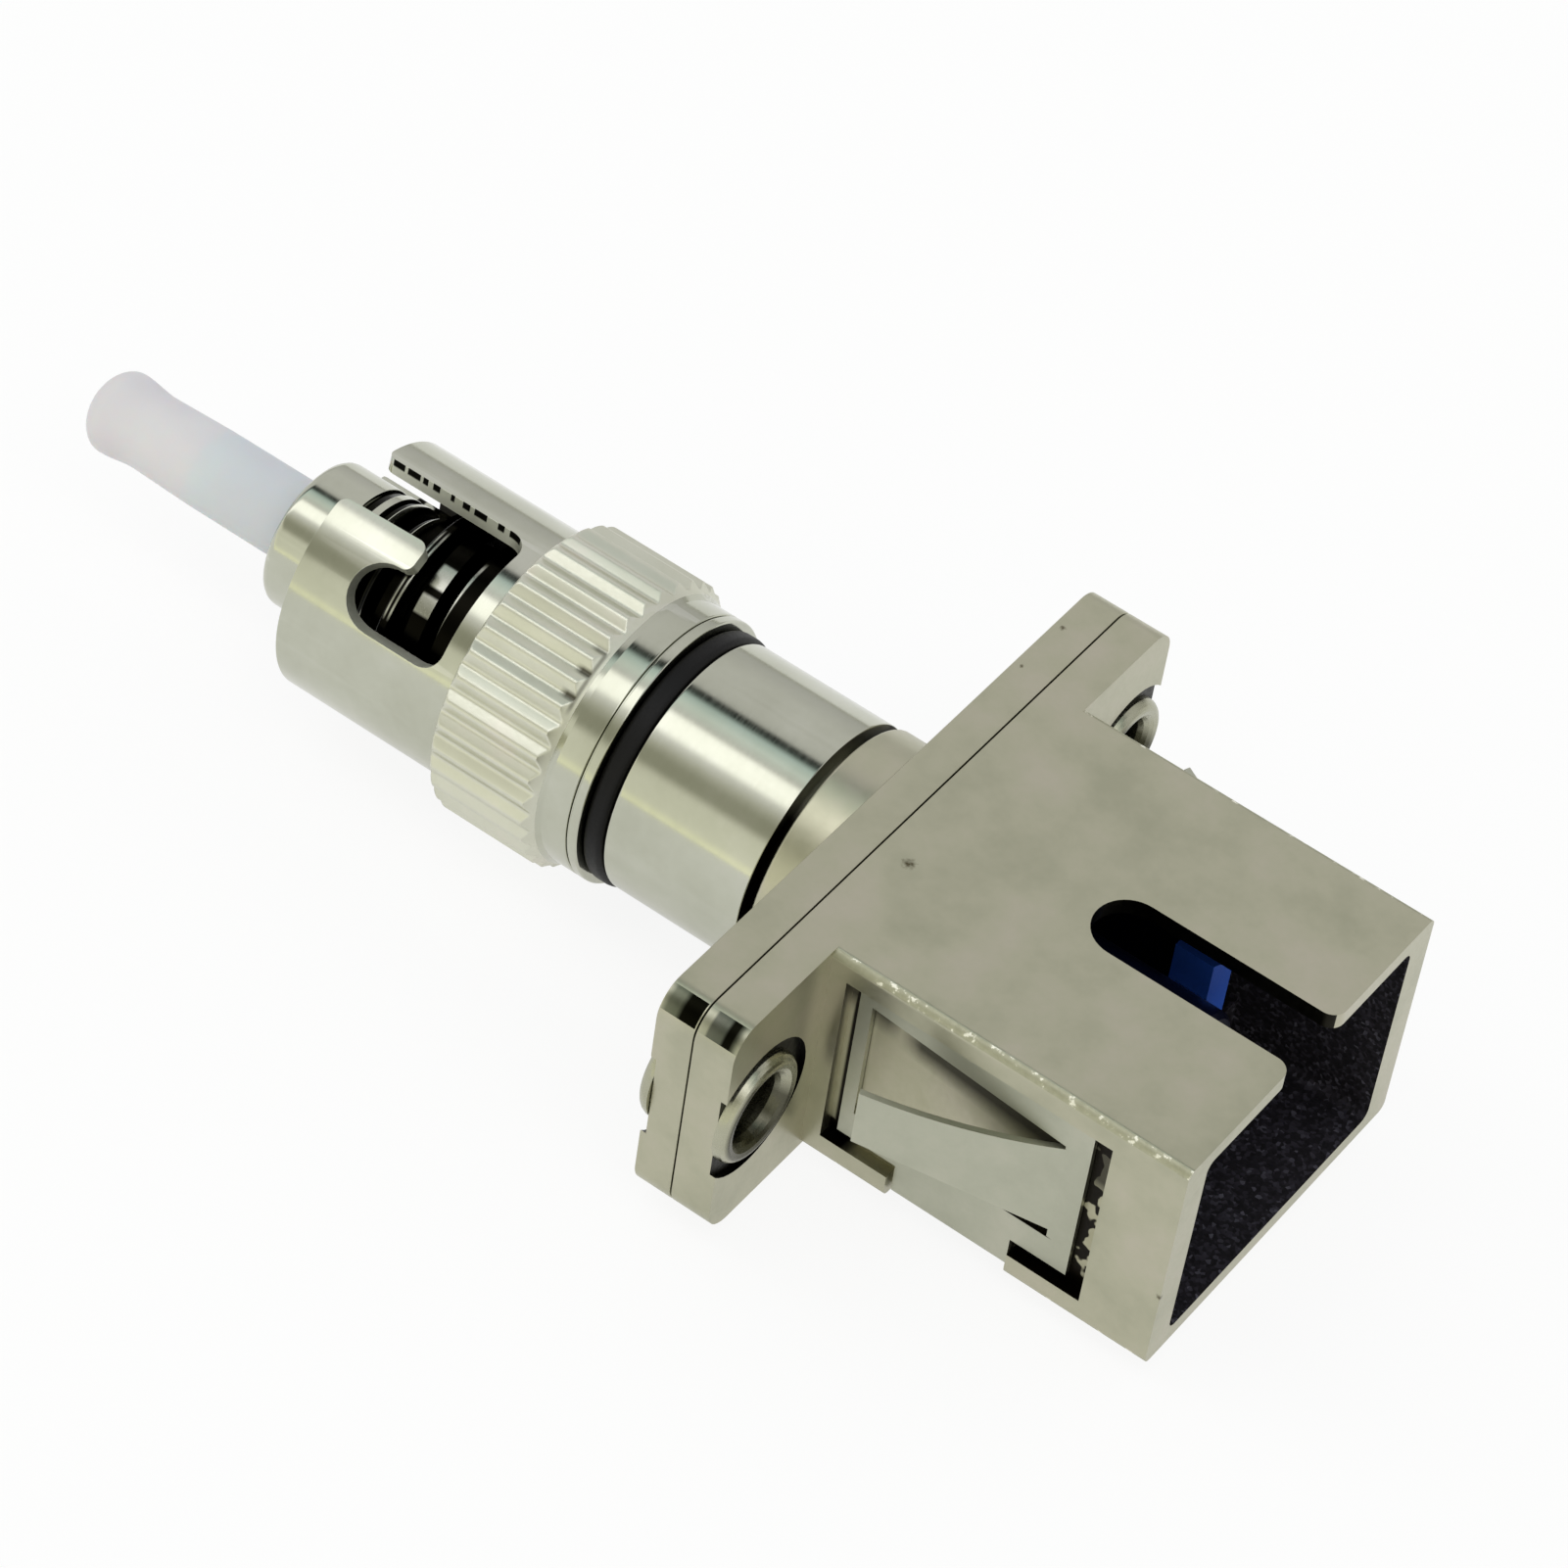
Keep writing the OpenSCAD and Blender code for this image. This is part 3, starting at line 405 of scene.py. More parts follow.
# Cast zinc under satin nickel: a warm olive grey that mirrors only softly,
# with a faint orange-peel waviness.
CAST_NICKEL = metal(
    "satin nickel plate on cast zinc",
    [(0.3, "#acab95"), (0.5, "#b7b59f"), (0.7, "#beb9a7")],
    (0.3, 0.36), 0.16, 0.0015, wave_mm=1.3, wave_depth=0.006,
    stain_or_shade=nicks, stain_or_shade_colour="#57513d")
# Its long outer edges, rubbed dull with a few bright specks.
CAST_EDGE = metal(
    "rubbed edge of the nickel plated casting",
    [(0.35, "#a9a892"), (0.58, "#b3b29c"), (0.64, "#f4f2e4")],
    (0.5, 0.58), 0.16, 0.002, cloud_mm=0.34)
# Turned brass under bright nickel: sharp streaks along the axis, blurred
# round the axis by the turning marks.
TURNED_NICKEL = metal(
    "bright nickel plate on turned brass",
    [(0.3, "#b7b8a8"), (0.55, "#bfc0b1"), (0.75, "#c6c6ba")],
    (0.1, 0.16), 0.05, 0.001, along=(1, 0.05, 0.05), worn="#d8d8ce")
# The same plate pressed by the knurling wheel, which leaves it duller, with painted shade
# at the rear of some grooves.
KNURLED_NICKEL = metal(
    "nickel plate on pressed knurling",
    [(0.3, "#d2d2c1"), (0.55, "#d9d9ca"), (0.75, "#dfdace")],
    (0.36, 0.44), 0.08, 0.001, worn="#dcdbd0", stain_or_shade=knurl_painted_shade,
    stain_or_shade_colour="#2a2412")
# The turned barrel with painted shade in its grooves and under the spring.
SHADED_BARREL = metal(
    "nickel plate on turned brass with painted shade",
    [(0.3, "#b7b8a8"), (0.55, "#bfc0b1"), (0.75, "#c6c6ba")],
    (0.1, 0.16), 0.05, 0.001, along=(1, 0.05, 0.05), worn="#d8d8ce",
    stain_or_shade=barrel_painted_shade, stain_or_shade_colour="#12120b")
# Near black painted shade on turned brass: the bore of the nut, the eyelets' seats and the
# keyway's walls.
SHADED_BORE = metal(
    "near black painted shade on turned brass",
    [(0.3, "#100e09"), (0.55, "#16140e"), (0.75, "#1c1a13")],
    (0.35, 0.5), 0.2, 0.002, worn="#26241c")
# The end of the tube in its groove, painted darker than the plate as shade and near black
# in its lower part.
GROOVE = metal(
    "nickel plate with painted shade in the groove",
    [(0.3, "#8d8c7c"), (0.55, "#959484"), (0.75, "#9c9b8b")],
    (0.3, 0.4), 0.2, 0.002, worn="#a9a899", stain_or_shade=groove_painted_shade,
    stain_or_shade_colour="#100d08")
# The milled walls of the slots: dull from the cutter, with dark burrs.
MILLED_WALL = metal(
    "milled nickel plated wall",
    [(0.3, "#c9cabb"), (0.55, "#d2d3c6"), (0.75, "#d9d9ce")],
    (0.5, 0.6), 0.1, 0.002, stain_or_shade=lip_burrs, stain_or_shade_colour="#0d0c08")
# The floor of the clip's recess, with painted shade and a painted shadow.
RECESS = metal(
    "satin nickel plate with painted shade in the recess",
    [(0.3, "#a9a68c"), (0.5, "#b5b29a"), (0.7, "#bdb8a4")],
    (0.36, 0.44), 0.16, 0.002, wave_mm=1.3, wave_depth=0.006,
    stain_or_shade=recess_painted_shade, stain_or_shade_colour="#15110a")
# Rolled spring steel with a nickel flash: cooler and whiter than the casting, with a thin
# line of painted shade at the slit in its wing.
SPRING_SHEET = metal(
    "nickel flashed spring steel sheet",
    [(0.3, "#aeaf9e"), (0.5, "#b6b7a6"), (0.7, "#bebdad")],
    (0.36, 0.42), 0.12, 0.001, stain_or_shade=slit_painted_shade, stain_or_shade_colour="#1a170d")
# Drawn eyelet sheet, and the turned washers and wire: plain bright steel.
BRIGHT_STEEL = metal(
    "bright drawn steel",
    [(0.3, "#a9aa9c"), (0.55, "#b6b7aa"), (0.75, "#c0c1b6")],
    (0.14, 0.22), 0.05, 0.001)
# The same steel as wire, painted dark as shade except for a few patches and arcs left
# bright as painted highlights.
SHADED_WIRE = metal(
    "spring wire with painted shade and highlights",
    [(0.3, "#a4a499"), (0.55, "#afafa4"), (0.75, "#b8b8ae")],
    (0.2, 0.28), 0.05, 0.001, stain_or_shade=spring_shade_and_highlights, stain_or_shade_colour="#0e0d09")
# The rolled eyelets: soft nickel plated brass tube, dull and olive, with painted shade in
# their funnels.
EYELET = metal(
    "dull nickel plate on rolled eyelets",
    [(0.3, "#a3a28c"), (0.55, "#afae9a"), (0.75, "#bab8a6")],
    (0.24, 0.34), 0.08, 0.001, stain_or_shade=funnel_painted_shade, stain_or_shade_colour="#1f1c12")
CERAMIC = moulded(
    "polished zirconia ceramic",
    [(0.3, "#e7e9e6"), (0.7, "#f1f2f0")], (0.08, 0.14), 0.04, 0.0005,
    {"IOR": 2.1})
# Soft low density polyethylene: milky, grey white, and only slightly glossy.
CAP_PLASTIC = moulded(
    "milky soft polyethylene",
    [(0.3, "#d9d5dc"), (0.5, "#dcd9df"), (0.7, "#dfdde1")],
    (0.5, 0.58), 0.12, 0.001,
    {"IOR": 1.51, "Specular IOR Level": 0.3, "Subsurface Weight": 0.25,
     "Subsurface Scale": 0.6 * MM}, cloud_mm=3.0)
BLACK_RUBBER = moulded(
    "moulded black nitrile rubber",
    [(0.3, "#070606"), (0.7, "#0d0c0d")], (0.45, 0.55), 0.08, 0.003,
    {"IOR": 1.52, "Specular IOR Level": 0.2})
# Moulded blue polybutylene, painted dark navy as shade at its rear and in its inner tube.
BLUE_PLASTIC = moulded(
    "moulded blue polybutylene",
    [(0.3, "#2550b4"), (0.7, "#2d59bf")], (0.35, 0.45), 0.1, 0.002,
    {"IOR": 1.55, "Specular IOR Level": 0.2}, painted_shade=(7.4, 7.65, "#05071c"))
FIBRE_COAT = moulded(
    "tight buffer coating",
    [(0.3, "#d6d1bd"), (0.7, "#e0dcca")], (0.45, 0.6), 0.08, 0.004)


def cavity_painted_shade():
    """The inside of the casting, painted near black with a purple cast as
    shade, with a coarse sparkle of grey grains about 0.12 mm wide."""
    mat, shader = new_material("cast zinc painted dark as shade")
    link = mat.node_tree.links.new
    place = add(mat, "TexCoord").outputs["Object"]
    grain = add(mat, "TexVoronoi", {"feature": "F1"}, {
        "Vector": place, "Scale": 1 / (0.12 * MM), "Randomness": 1.0})
    specks = ramp(mat, grain.outputs["Color"], [
        (0.0, "#0b090d"), (0.5, "#1a171d"), (0.78, "#322f38"),
        (1.0, "#5a5863")])
    link(specks, shader.inputs["Base Color"])
    shader.inputs["Metallic"].default_value = 0.2
    shader.inputs["Roughness"].default_value = 0.75
    shader.inputs["Specular IOR Level"].default_value = 0.25
    bump = add(mat, "Bump", links={
        "Height": grain.outputs["Distance"], "Strength": 0.5,
        "Distance": 0.02 * MM})
    link(bump.outputs["Normal"], shader.inputs["Normal"])
    return mat


SHADED_LINING = cavity_painted_shade()


def corner_painted_reflection():
    """A painted reflection on the rounded corner of both flange halves: grey
    and then black across each half, and light again at its edges."""
    mat, shader = new_material("nickel plate with a painted reflection on the corner")
    link = mat.node_tree.links.new
    place = add(mat, "TexCoord").outputs["Object"]
    parts = add(mat, "SeparateXYZ", links={0: place})
    across = between(mat, parts.outputs["X"], -1.4, 1.4)
    tones = [(-1.3, "#a5a593"), (-1.12, "#6b6e5e"), (-0.78, "#5f6253"),
             (-0.62, "#0e0e08"), (-0.06, "#0c0c07"), (0.02, "#a8a895"),
             (0.26, "#a0a08d"), (0.34, "#63655a"), (0.78, "#585b50"),
             (0.88, "#0e0e08"), (1.1, "#10100a"), (1.2, "#55574a"),
             (1.34, "#9b9b88")]
    tone = ramp(mat, across, [((x + 1.4) / 2.8, code) for x, code in tones])
    link(tone, shader.inputs["Base Color"])
    shader.inputs["Metallic"].default_value = 1.0
    grain = add(mat, "TexNoise", links={
        "Vector": place, "Scale": 1 / (0.16 * MM), "Detail": 2.0})
    spread = add(mat, "MapRange", links={
        "Value": grain.outputs["Fac"], "From Min": 0.3, "From Max": 0.7,
        "To Min": 0.3, "To Max": 0.38})
    link(spread.outputs["Result"], shader.inputs["Roughness"])
    return mat


CORNER_REFLECTION = corner_painted_reflection()


# ------------------------------------------------------------- mesh helpers

def outline(mesh, points, lift=0.0):
    """A flat face in X and Y through the given points."""
    return mesh.faces.new([mesh.verts.new((x, y, lift)) for x, y in points])


def round_corners(mesh, groups, segments=4):
    """Rounds corner vertices of a flat face: groups of (radius, vertices)."""
    for radius, corners in groups:
        bmesh.ops.bevel(
            mesh, geom=corners, offset=radius, offset_type="OFFSET",
            segments=segments, profile=0.5, affect="VERTICES", material=-1,
            clamp_overlap=True)


def round_edges(mesh, radius, test, segments=3, angle=30):
    """Rounds every edge sharper than the angle that passes the test."""
    limit = math.radians(angle)
    edges = [e for e in mesh.edges if len(e.link_faces) == 2
             and e.calc_face_angle(0.0) > limit and test(e)]
    if edges:
        bmesh.ops.bevel(
            mesh, geom=edges, offset=radius, offset_type="OFFSET",
            segments=segments, profile=0.5, affect="EDGES", material=-1,
            clamp_overlap=True)


def piece(name, mesh, materials, body, replaced=(), sharp=32):
    """Turns a bmesh drawn in millimetres into a finished piece in metres.
    Its shading is evened while it is in millimetres, because the modifier
    passes over faces of less than a ten-thousandth of a unit."""
    bmesh.ops.remove_doubles(mesh, verts=mesh.verts, dist=0.0004)
    bmesh.ops.recalc_face_normals(mesh, faces=mesh.faces)
    data = bpy.data.meshes.new(name)
    mesh.to_mesh(data)
    mesh.free()
    data.shade_smooth()
    data.set_sharp_from_angle(angle=math.radians(sharp))
    for material in materials:
        data.materials.append(material)
    made = bpy.data.objects.new(name, data)
    bpy.context.scene.collection.objects.link(made)
    weigh = made.modifiers.new("even shading", "WEIGHTED_NORMAL")
    weigh.keep_sharp = True
    graph = bpy.context.evaluated_depsgraph_get()
    even = bpy.data.meshes.new_from_object(
        made.evaluated_get(graph), preserve_all_data_layers=True,
        depsgraph=graph)
    made.modifiers.clear()
    made.data = even
    bpy.data.meshes.remove(data)
    even.name = name
    even.transform(Matrix.Scale(MM, 4))
    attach(made, body)
    if replaced:
        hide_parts(*replaced)
    return made


def lathe(points, steps=192):
    """A bmesh turned about the X axis from (radius, x, rounding) corners."""
    mesh = bmesh.new()
    face = mesh.faces.new([mesh.verts.new((x, r, 0)) for r, x, _ in points])
    corners = {}
    for vert, (r, x, rounding) in zip(list(mesh.verts), points):
        if rounding:
            corners.setdefault(rounding, []).append(vert)
    round_corners(mesh, list(corners.items()), 4)
    bmesh.ops.delete(mesh, geom=mesh.faces[:], context="FACES_ONLY")
    bmesh.ops.spin(
        mesh, geom=mesh.verts[:] + mesh.edges[:], cent=(0, 0, 0),
        axis=(1, 0, 0), dvec=(0, 0, 0), angle=math.tau, steps=steps,
        use_merge=True, use_duplicate=False)
    bmesh.ops.remove_doubles(mesh, verts=mesh.verts, dist=0.0004)
    return mesh


# ------------------------------------------------------------ turned pieces

def body_tube():
    mesh = lathe([
        (3.01, TUBE_X, 0), (TUBE_R, TUBE_X, 0.12), (TUBE_R, TUBE_END_X, 0.06),
        (3.55, TUBE_END_X, 0), (3.55, -1.5, 0), (3.2, -1.5, 0),
        (3.2, TUBE_X + 3.01, 0), (3.01, TUBE_X + 3.01, 0)])
    # The faces in the groove take its painted shade.
    for face in mesh.faces:
        if face.calc_center_median().x > TUBE_END_X - 0.012:
            face.material_index = 1
    piece("polished_tube", mesh, [TURNED_NICKEL, GROOVE], "adapter",
          ["body_tube"])


def rubber_ring():
    mesh = lathe([
        (2.51, -8.78, 0), (BUMPER_R, -8.78, 0.2), (BUMPER_R, -8.08, 0.2),
        (2.51, -8.08, 0)])
    piece("rubber_bumper", mesh, [BLACK_RUBBER], "adapter", ["bumper_ring"])


def tail_ring():
    mesh = lathe([
        (2.55, -10.2, 0.05), (3.71, -10.2, 0.05), (3.71, -9.18, 0),
        (COLLAR_R - 0.05, -9.18, 0.02), (COLLAR_R - 0.05, -9.12, 0.02),
        (COLLAR_R, -9.12, 0.03), (COLLAR_R, TAIL_X, 0.07),
        (2.55, TAIL_X, 0.05)])
    piece("swaged_tail_ring", mesh, [TURNED_NICKEL], "nut",
          ["nut_tail_ring"])


def plug_barrel():
    """The inner barrel with its front bore, snap ring groove and key."""
    mesh = lathe([
        (1.75, -22.6, 0.1), (BARREL_R, -22.6, 0.3),
        (BARREL_R, -20.66, 0.04), (2.38, -20.6, 0.04),
        (2.38, -20.38, 0.04), (BARREL_R, -20.32, 0.04),
        (BARREL_R, -20.02, 0.04), (2.4, -19.96, 0.04),
        (2.4, -19.8, 0.04), (BARREL_R, -19.74, 0.04),
        (BARREL_R, -19.5, 0.05), (2.36, -19.38, 0.08),
        (2.36, -18.97, 0.08), (BARREL_R, -18.85, 0.05),
        (BARREL_R, -18.03, 0),
        (2.2, -18.03, 0), (2.2, -17.71, 0), (BARREL_R, -17.71, 0),
        (BARREL_R, TUBE_X, 0), (3.0, TUBE_X, 0), (3.0, TUBE_X + 3, 0.1),
        (1.71, TUBE_X + 3, 0), (1.71, -14.6, 0), (1.3, -14.6, 0.05),
        (1.3, -15.2, 0.05), (1.75, -15.2, 0)])
    key = bmesh.ops.create_cube(mesh, size=1)["verts"]
    bmesh.ops.scale(mesh, vec=(3.0, 1.0, 1.0), verts=key)
    bmesh.ops.translate(mesh, vec=(-20.6, 2.4, 0), verts=key)
    bmesh.ops.rotate(mesh, cent=(0, 0, 0),
                     matrix=Matrix.Rotation(math.radians(4.5), 3, "X"),
                     verts=key)
    inside = set(key)
    round_edges(mesh, 0.12, lambda e: set(e.verts) <= inside, 3)
    piece("keyed_barrel", mesh, [SHADED_BARREL], "adapter", ["plug_barrel"])


def dust_cap():
    """The soft cap: a bore over the ferrule and a long nose that narrows a
    little and swells again to a round bulb."""
    nose = [(0, -31.05, 0)]
    for i in range(1, 13):
        turn = math.radians(i * 90 / 12)
        nose.append((1.4 * math.sin(turn), -30.15 - 0.9 * math.cos(turn), 0))
    for i in range(1, 9):
        t = i / 8
        nose.append((1.27 + 0.065 * (1 + math.cos(math.pi * t)),
                     -30.15 + 1.3 * t, 0))
    mesh = lathe(nose + [
        (1.335, -26.6, 0), (1.345, -21.8, 0.03), (1.265, -21.8, 0.02),
        (1.265, -26.52, 0), (0, -26.52, 0)], 128)
    piece("milky_cap", mesh, [CAP_PLASTIC], "cap", ["ferrule_cap"])


def washers():
    """Thin pressed discs on each side of the spring: the rear one bright,
    the front one with the wire's painted shade and painted highlights.
    """
    for name, node, body, x, finish in (
            ("front_disc", "spring_washer_front", "adapter", -17.7,
             SHADED_WIRE),
            ("rear_disc", "spring_washer_rear", "nut_carrier", -10.52,
             BRIGHT_STEEL)):
        mesh = lathe([(2.55, x, 0.04), (3.45, x, 0.08),
                      (3.45, x + 0.3, 0.08), (2.55, x + 0.3, 0.04)])
        piece(name, mesh, [finish], body, [node])


def coil_spring():
    """Six turns of round wire between the discs."""
    mesh = bmesh.new()
    x0, x1, wire = -17.38, -10.54, 0.28
    turns, steps = 6, 60
    ring = bmesh.ops.create_circle(
        mesh, cap_ends=True, radius=wire, segments=12)["verts"]
    bmesh.ops.rotate(mesh, cent=(0, 0, 0),
                     matrix=Matrix.Rotation(math.pi / 2, 3, "Y"), verts=ring)
    bmesh.ops.rotate(mesh, cent=(0, 0, 0),
                     matrix=Matrix.Rotation(math.pi / 2, 3, "X"), verts=ring)
    bmesh.ops.rotate(mesh, cent=(0, 0, 0),
                     matrix=Matrix.Rotation(math.pi / 2, 3, "Z"), verts=ring)
    bmesh.ops.translate(mesh, vec=(x0 + wire, 3.11, 0), verts=ring)
    rise = (x1 - x0 - 2 * wire) / (turns * steps)
    bmesh.ops.spin(
        mesh, geom=mesh.verts[:] + mesh.edges[:] + mesh.faces[:],
        cent=(0, 0, 0), axis=(1, 0, 0), dvec=(rise, 0, 0),
        angle=math.tau * turns, steps=turns * steps, use_merge=False,
        use_duplicate=False)
    made = piece("coil", mesh, [SHADED_WIRE], "adapter", ["coupling_spring"])
    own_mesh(made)


# ------------------------------------------------------------- coupling nut

def nut_barrel():
    """The smooth barrel with its two bayonet slots. Half of it is drawn flat
    as a plate, cut by its slot, thickened, rounded and rolled up."""
    arc = math.radians(1) * NUT_R

    def at(x, angle):
        return (x, angle * arc)

    mesh = bmesh.new()
    rear, front = SLOT_REAR_X, NUT_X
    places = [
        ("end", at(front, 30)), ("mouth", at(front, 81)),
        ("rear", at(rear, 81)), ("rear", at(rear, 153.2)),
        ("notch", at(-18.7, 153.2)), ("notch", at(-18.7, 122.6)),
        ("hook", at(-17.25, 122.6)), ("tongue", at(-17.25, 108)),
        ("mouth", at(front, 109.3)), ("end", at(front, 210)),
        ("end", at(-14.0, 210)), ("end", at(-14.0, 30))]
    face = outline(mesh, [place for _, place in places])
    verts = list(face.verts)
    named = {}
    for (kind, _), vert in zip(places, verts):
        named.setdefault(kind, []).append(vert)
    round_corners(mesh, [
        (0.35, named["mouth"]), (0.75, named["rear"]),
        (1.1, named["notch"]), (0.3, named["hook"]),
        (0.35, named["tongue"])], 8)
    wall = NUT_R - NUT_BORE_R
    grown = bmesh.ops.extrude_face_region(mesh, geom=mesh.faces[:])
    bmesh.ops.translate(
        mesh, vec=(0, 0, -wall),
        verts=[v for v in grown["geom"] if isinstance(v, bmesh.types.BMVert)])
    bmesh.ops.recalc_face_normals(mesh, faces=mesh.faces)
    seams = (30 * arc, 210 * arc)

    def on_seam(v):
        return any(abs(v.co.y - s) < 1e-5 for s in seams)

    def lip(e):
        a, b = e.verts
        return (a.co.z > -1e-5 and b.co.z > -1e-5 and a.co.x < -14.1
                and b.co.x < -14.1 and not (on_seam(a) and on_seam(b)))

    def rim(e):
        return lip(e) and all(v.co.x < front + 0.02 for v in e.verts)

    round_edges(mesh, 0.2, rim, 5, 60)
    round_edges(mesh, 0.1, lambda e: lip(e) and not all(
        v.co.x < front + 0.3 for v in e.verts), 3, 60)
    for face in mesh.faces:
        middle = face.calc_center_median()
        # The inner faces take the near black painted shade of the bore.
        if face.normal.z < -0.9:
            face.material_index = 1
        elif middle.x > front + 0.3 and (
                abs(face.normal.z) < 0.04 or (
                    abs(middle.y - 81 * arc) < 0.16 and middle.z > -0.12
                    and abs(face.normal.z) < 0.99)):
            face.material_index = 2
    ends = [f for f in mesh.faces if all(on_seam(v) for v in f.verts)]
    bmesh.ops.delete(mesh, geom=ends, context="FACES")
    for i in range(1, 90):
        cut = (30 + i * 2) * arc
        bmesh.ops.bisect_plane(
            mesh, geom=mesh.verts[:] + mesh.edges[:] + mesh.faces[:],
            dist=1e-5, plane_co=(0, cut, 0), plane_no=(0, 1, 0))
    for v in mesh.verts:
        turn, r = v.co.y / NUT_R, NUT_R + v.co.z
        v.co = Vector((v.co.x, r * math.cos(turn), r * math.sin(turn)))
    copy = bmesh.ops.duplicate(
        mesh, geom=mesh.verts[:] + mesh.edges[:] + mesh.faces[:])["geom"]
    bmesh.ops.rotate(
        mesh, cent=(0, 0, 0), matrix=Matrix.Rotation(math.pi, 3, "X"),
        verts=[v for v in copy if isinstance(v, bmesh.types.BMVert)])
    bmesh.ops.remove_doubles(mesh, verts=mesh.verts, dist=0.002)
    return piece("slotted_barrel", mesh,
                 [TURNED_NICKEL, SHADED_BORE, MILLED_WALL], "nut",
                 ["coupling_nut"])


def nut_grip():
    """The knurled band and the collar behind it: a turned ring whose surface
    is pressed in along 36 straight grooves that run out on both slopes."""
    rows = [(NUT_BORE_R, -13.9), (4.1, -13.9), (4.1, KNURL_X)]
    for i in range(13):
        t = i / 12
        rows.append((NUT_R - 0.01 + (KNURL_R - NUT_R + 0.01)
                     * math.sin(t * math.pi / 2),
                     KNURL_X + 0.3 * (1 - math.cos(t * math.pi / 2))))
    rows += [(KNURL_R, KNURL_X + 0.3 + 0.4 * i) for i in range(1, 8)]
    rows += [(KNURL_R, KNURL_BACK_X - 0.05)]
    for i in range(19):
        t = i / 18
        rows.append((KNURL_R - (KNURL_R - COLLAR_R) * t ** 0.85,
                     KNURL_BACK_X + (COLLAR_X - KNURL_BACK_X) * t))
    points = [(r, x, 0) for r, x in rows] + [
        (COLLAR_R, NUT_BACK_X, 0.06), (NUT_BORE_R, NUT_BACK_X, 0)]
    mesh = lathe(points, KNURL_TEETH * 16)
    pitch = math.tau / KNURL_TEETH
    for v in mesh.verts:
        r = math.hypot(v.co.y, v.co.z)
        if r < KNURL_R - KNURL_DEPTH or v.co.x > COLLAR_X - 0.001:
            continue
        off = (math.atan2(v.co.z, v.co.y) / pitch + 0.5) % 1 - 0.5
        side = abs(off) * pitch * KNURL_R
        limit = KNURL_R - KNURL_DEPTH + max(0.0, side - 0.05) * 0.62
        limit = min(limit, KNURL_R - 0.2 * max(0.0, 0.4 - side) ** 2)
        if limit < r:
            v.co.y *= limit / r
            v.co.z *= limit / r
    for face in mesh.faces:
        middle = face.calc_center_median()
        reach = math.hypot(middle.y, middle.z)
        # The bore takes the near black painted shade.
        if reach < NUT_BORE_R + 0.3 and middle.x < NUT_BACK_X - 0.1:
            face.material_index = 2
        elif middle.x < COLLAR_X - 0.15:
            face.material_index = 1
    piece("knurled_grip", mesh, [TURNED_NICKEL, KNURLED_NICKEL, SHADED_BORE],
          "nut", (), sharp=38)


# ----------------------------------------------- casting, clip and eyelets

def from_node(node):
    """A merged copy of a CAD node with its flat faces joined, in mm."""
    mesh = bmesh.new()
    mesh.from_mesh(NODES[node].data)
    bmesh.ops.remove_doubles(mesh, verts=mesh.verts, dist=2e-7)
    bmesh.ops.scale(mesh, vec=(1 / MM, 1 / MM, 1 / MM), verts=mesh.verts)
    bmesh.ops.recalc_face_normals(mesh, faces=mesh.faces)
    bmesh.ops.dissolve_limit(
        mesh, angle_limit=math.radians(0.4), use_dissolve_boundaries=False,
        verts=mesh.verts, edges=mesh.edges)
    return mesh


def seat_faces(mesh, index, x):
    """Gives the eyelets' seats, sunk in a flange half, the finish of the given index,
    which holds the near black painted shade.
    """
    for face in mesh.faces:
        c = face.calc_center_median()
        off = math.hypot(abs(c.y) - EYELET_Y, c.z)
        if (off < 2.4 and abs(c.x - x) < 0.19
                and abs(c.y) < HALF_W - 0.05):
            face.material_index = index


def corner_faces(mesh, index):
    """Gives the flange's rounded corner its painted reflection."""
    for face in mesh.faces:
        c = face.calc_center_median()
        turn = math.degrees(math.atan2(c.z - HALF_H + 1, -c.y - HALF_W + 1))
        if (c.z > HALF_H - 1 and c.y < 1 - HALF_W and abs(face.normal.x) < 0.2
                and 25 < turn < 76):
            face.material_index = index


def plug_flange():
    mesh = from_node("plug_flange")
    seat_faces(mesh, 2, -1.12)
    round_edges(mesh, 0.07, lambda e: all(
        math.hypot(v.co.y, v.co.z) > 4.6 or v.co.x < -1.7
        for v in e.verts), 3, 40)
    corner_faces(mesh, 1)
    piece("rear_flange", mesh, [CAST_NICKEL, CORNER_REFLECTION, SHADED_BORE],
          "adapter", ["plug_flange"])


